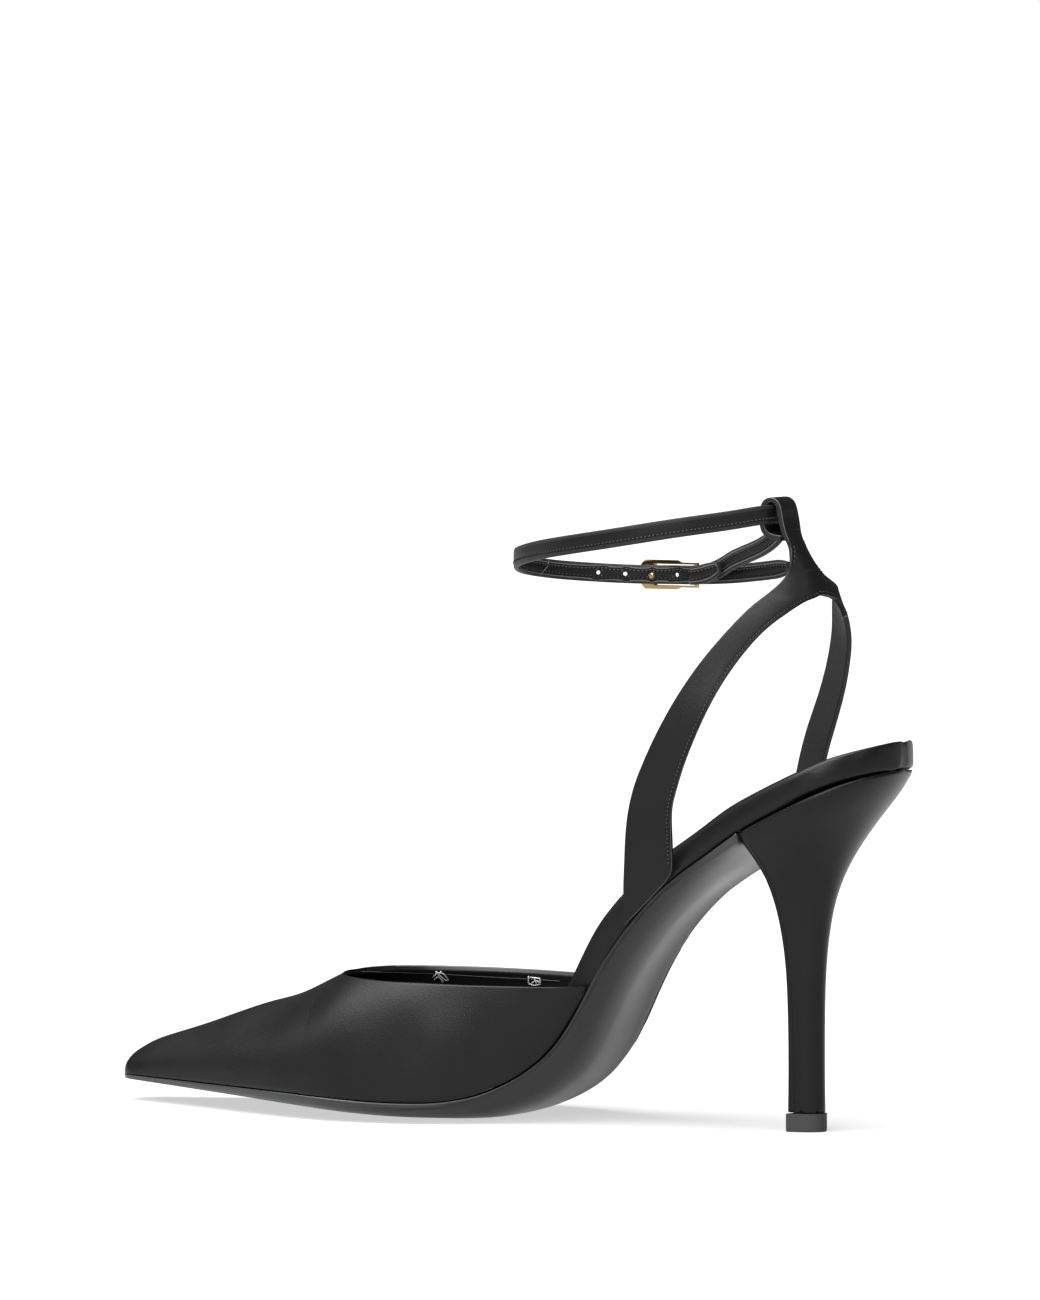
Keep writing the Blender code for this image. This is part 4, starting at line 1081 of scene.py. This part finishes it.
# %% Joint of the strap's lining
JOINT_POINTS = ((549, 561), (547, 567), (542, 573), (540, 576))
JOINT_LIFT, JOINT_RADIUS = 0.03 * MILLIMETRE, 0.13 * MILLIMETRE
joint = seen_line(surface_tree(strap), JOINT_POINTS, JOINT_LIFT)
# painted highlight along the edge of the joint
swept_line("strap_lining_joint", [joint], JOINT_RADIUS, painted_edge_highlight)

# %% [markdown]
# The top piece is moulded rubber with crisp edges, so its solid stays and only gets its finish.
# The buckle is cast and polished, and a polished edge is never sharp: its copy is bevelled, so
# that every edge catches a line of light. It isn't subdivided, because the bevel rounds it.

# %% Top piece and buckle
BUCKLE_ROUND = 0.16 * MILLIMETRE
BUCKLE_SHARP = math.radians(35)
top_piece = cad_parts["top_piece"]
for place in top_piece.material_slots:
    place.material = tip_rubber

buckle_data = merged_copy("buckle")
sharp = [edge for edge in buckle_data.edges if edge.calc_face_angle(0) > BUCKLE_SHARP]
bmesh.ops.bevel(buckle_data, geom=sharp, offset=BUCKLE_ROUND, segments=2, profile=0.5, affect="EDGES",
                clamp_overlap=True)
buckle = smooth_piece("gold_buckle", buckle_data, 0, [shade_darkened_gold])
stand_in(buckle, "buckle")

# %% [markdown]
# The strap is held by a peg that goes through one of its holes and ends in a small round head.
# A ray at the head itself would fall into the hole, so the head sits midway between two places
# beside it. It is a ball, pressed a little flatter along the way that the strap faces.

# %% Peg head
PEG_HEAD_POINT, PEG_HEAD_RADIUS = (652, 576), 0.95 * MILLIMETRE
PEG_HEAD_BESIDE = 5                     # pixels to either side
PEG_HEAD_PRESS = 0.35
strap_surface = surface_tree(strap)
beside = [seen_place(strap_surface, np.add(PEG_HEAD_POINT, (step, 0)))
          for step in (-PEG_HEAD_BESIDE, PEG_HEAD_BESIDE)]
head_place = (beside[0][0] + beside[1][0]) / 2
head_out = (beside[0][1] + beside[1][1]).normalized()
head_data = bmesh.new()
bmesh.ops.create_uvsphere(head_data, u_segments=20, v_segments=12, radius=PEG_HEAD_RADIUS)
for corner in head_data.verts:
    corner.co = head_place + corner.co - head_out * PEG_HEAD_PRESS * head_out.dot(corner.co)
head_mesh = bpy.data.meshes.new("peg_head")
head_data.to_mesh(head_mesh)
head_data.free()
peg_head = add_piece("peg_head", head_mesh, [shade_darkened_gold])
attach(peg_head, BODY)
print("top piece, buckle and peg head finished")
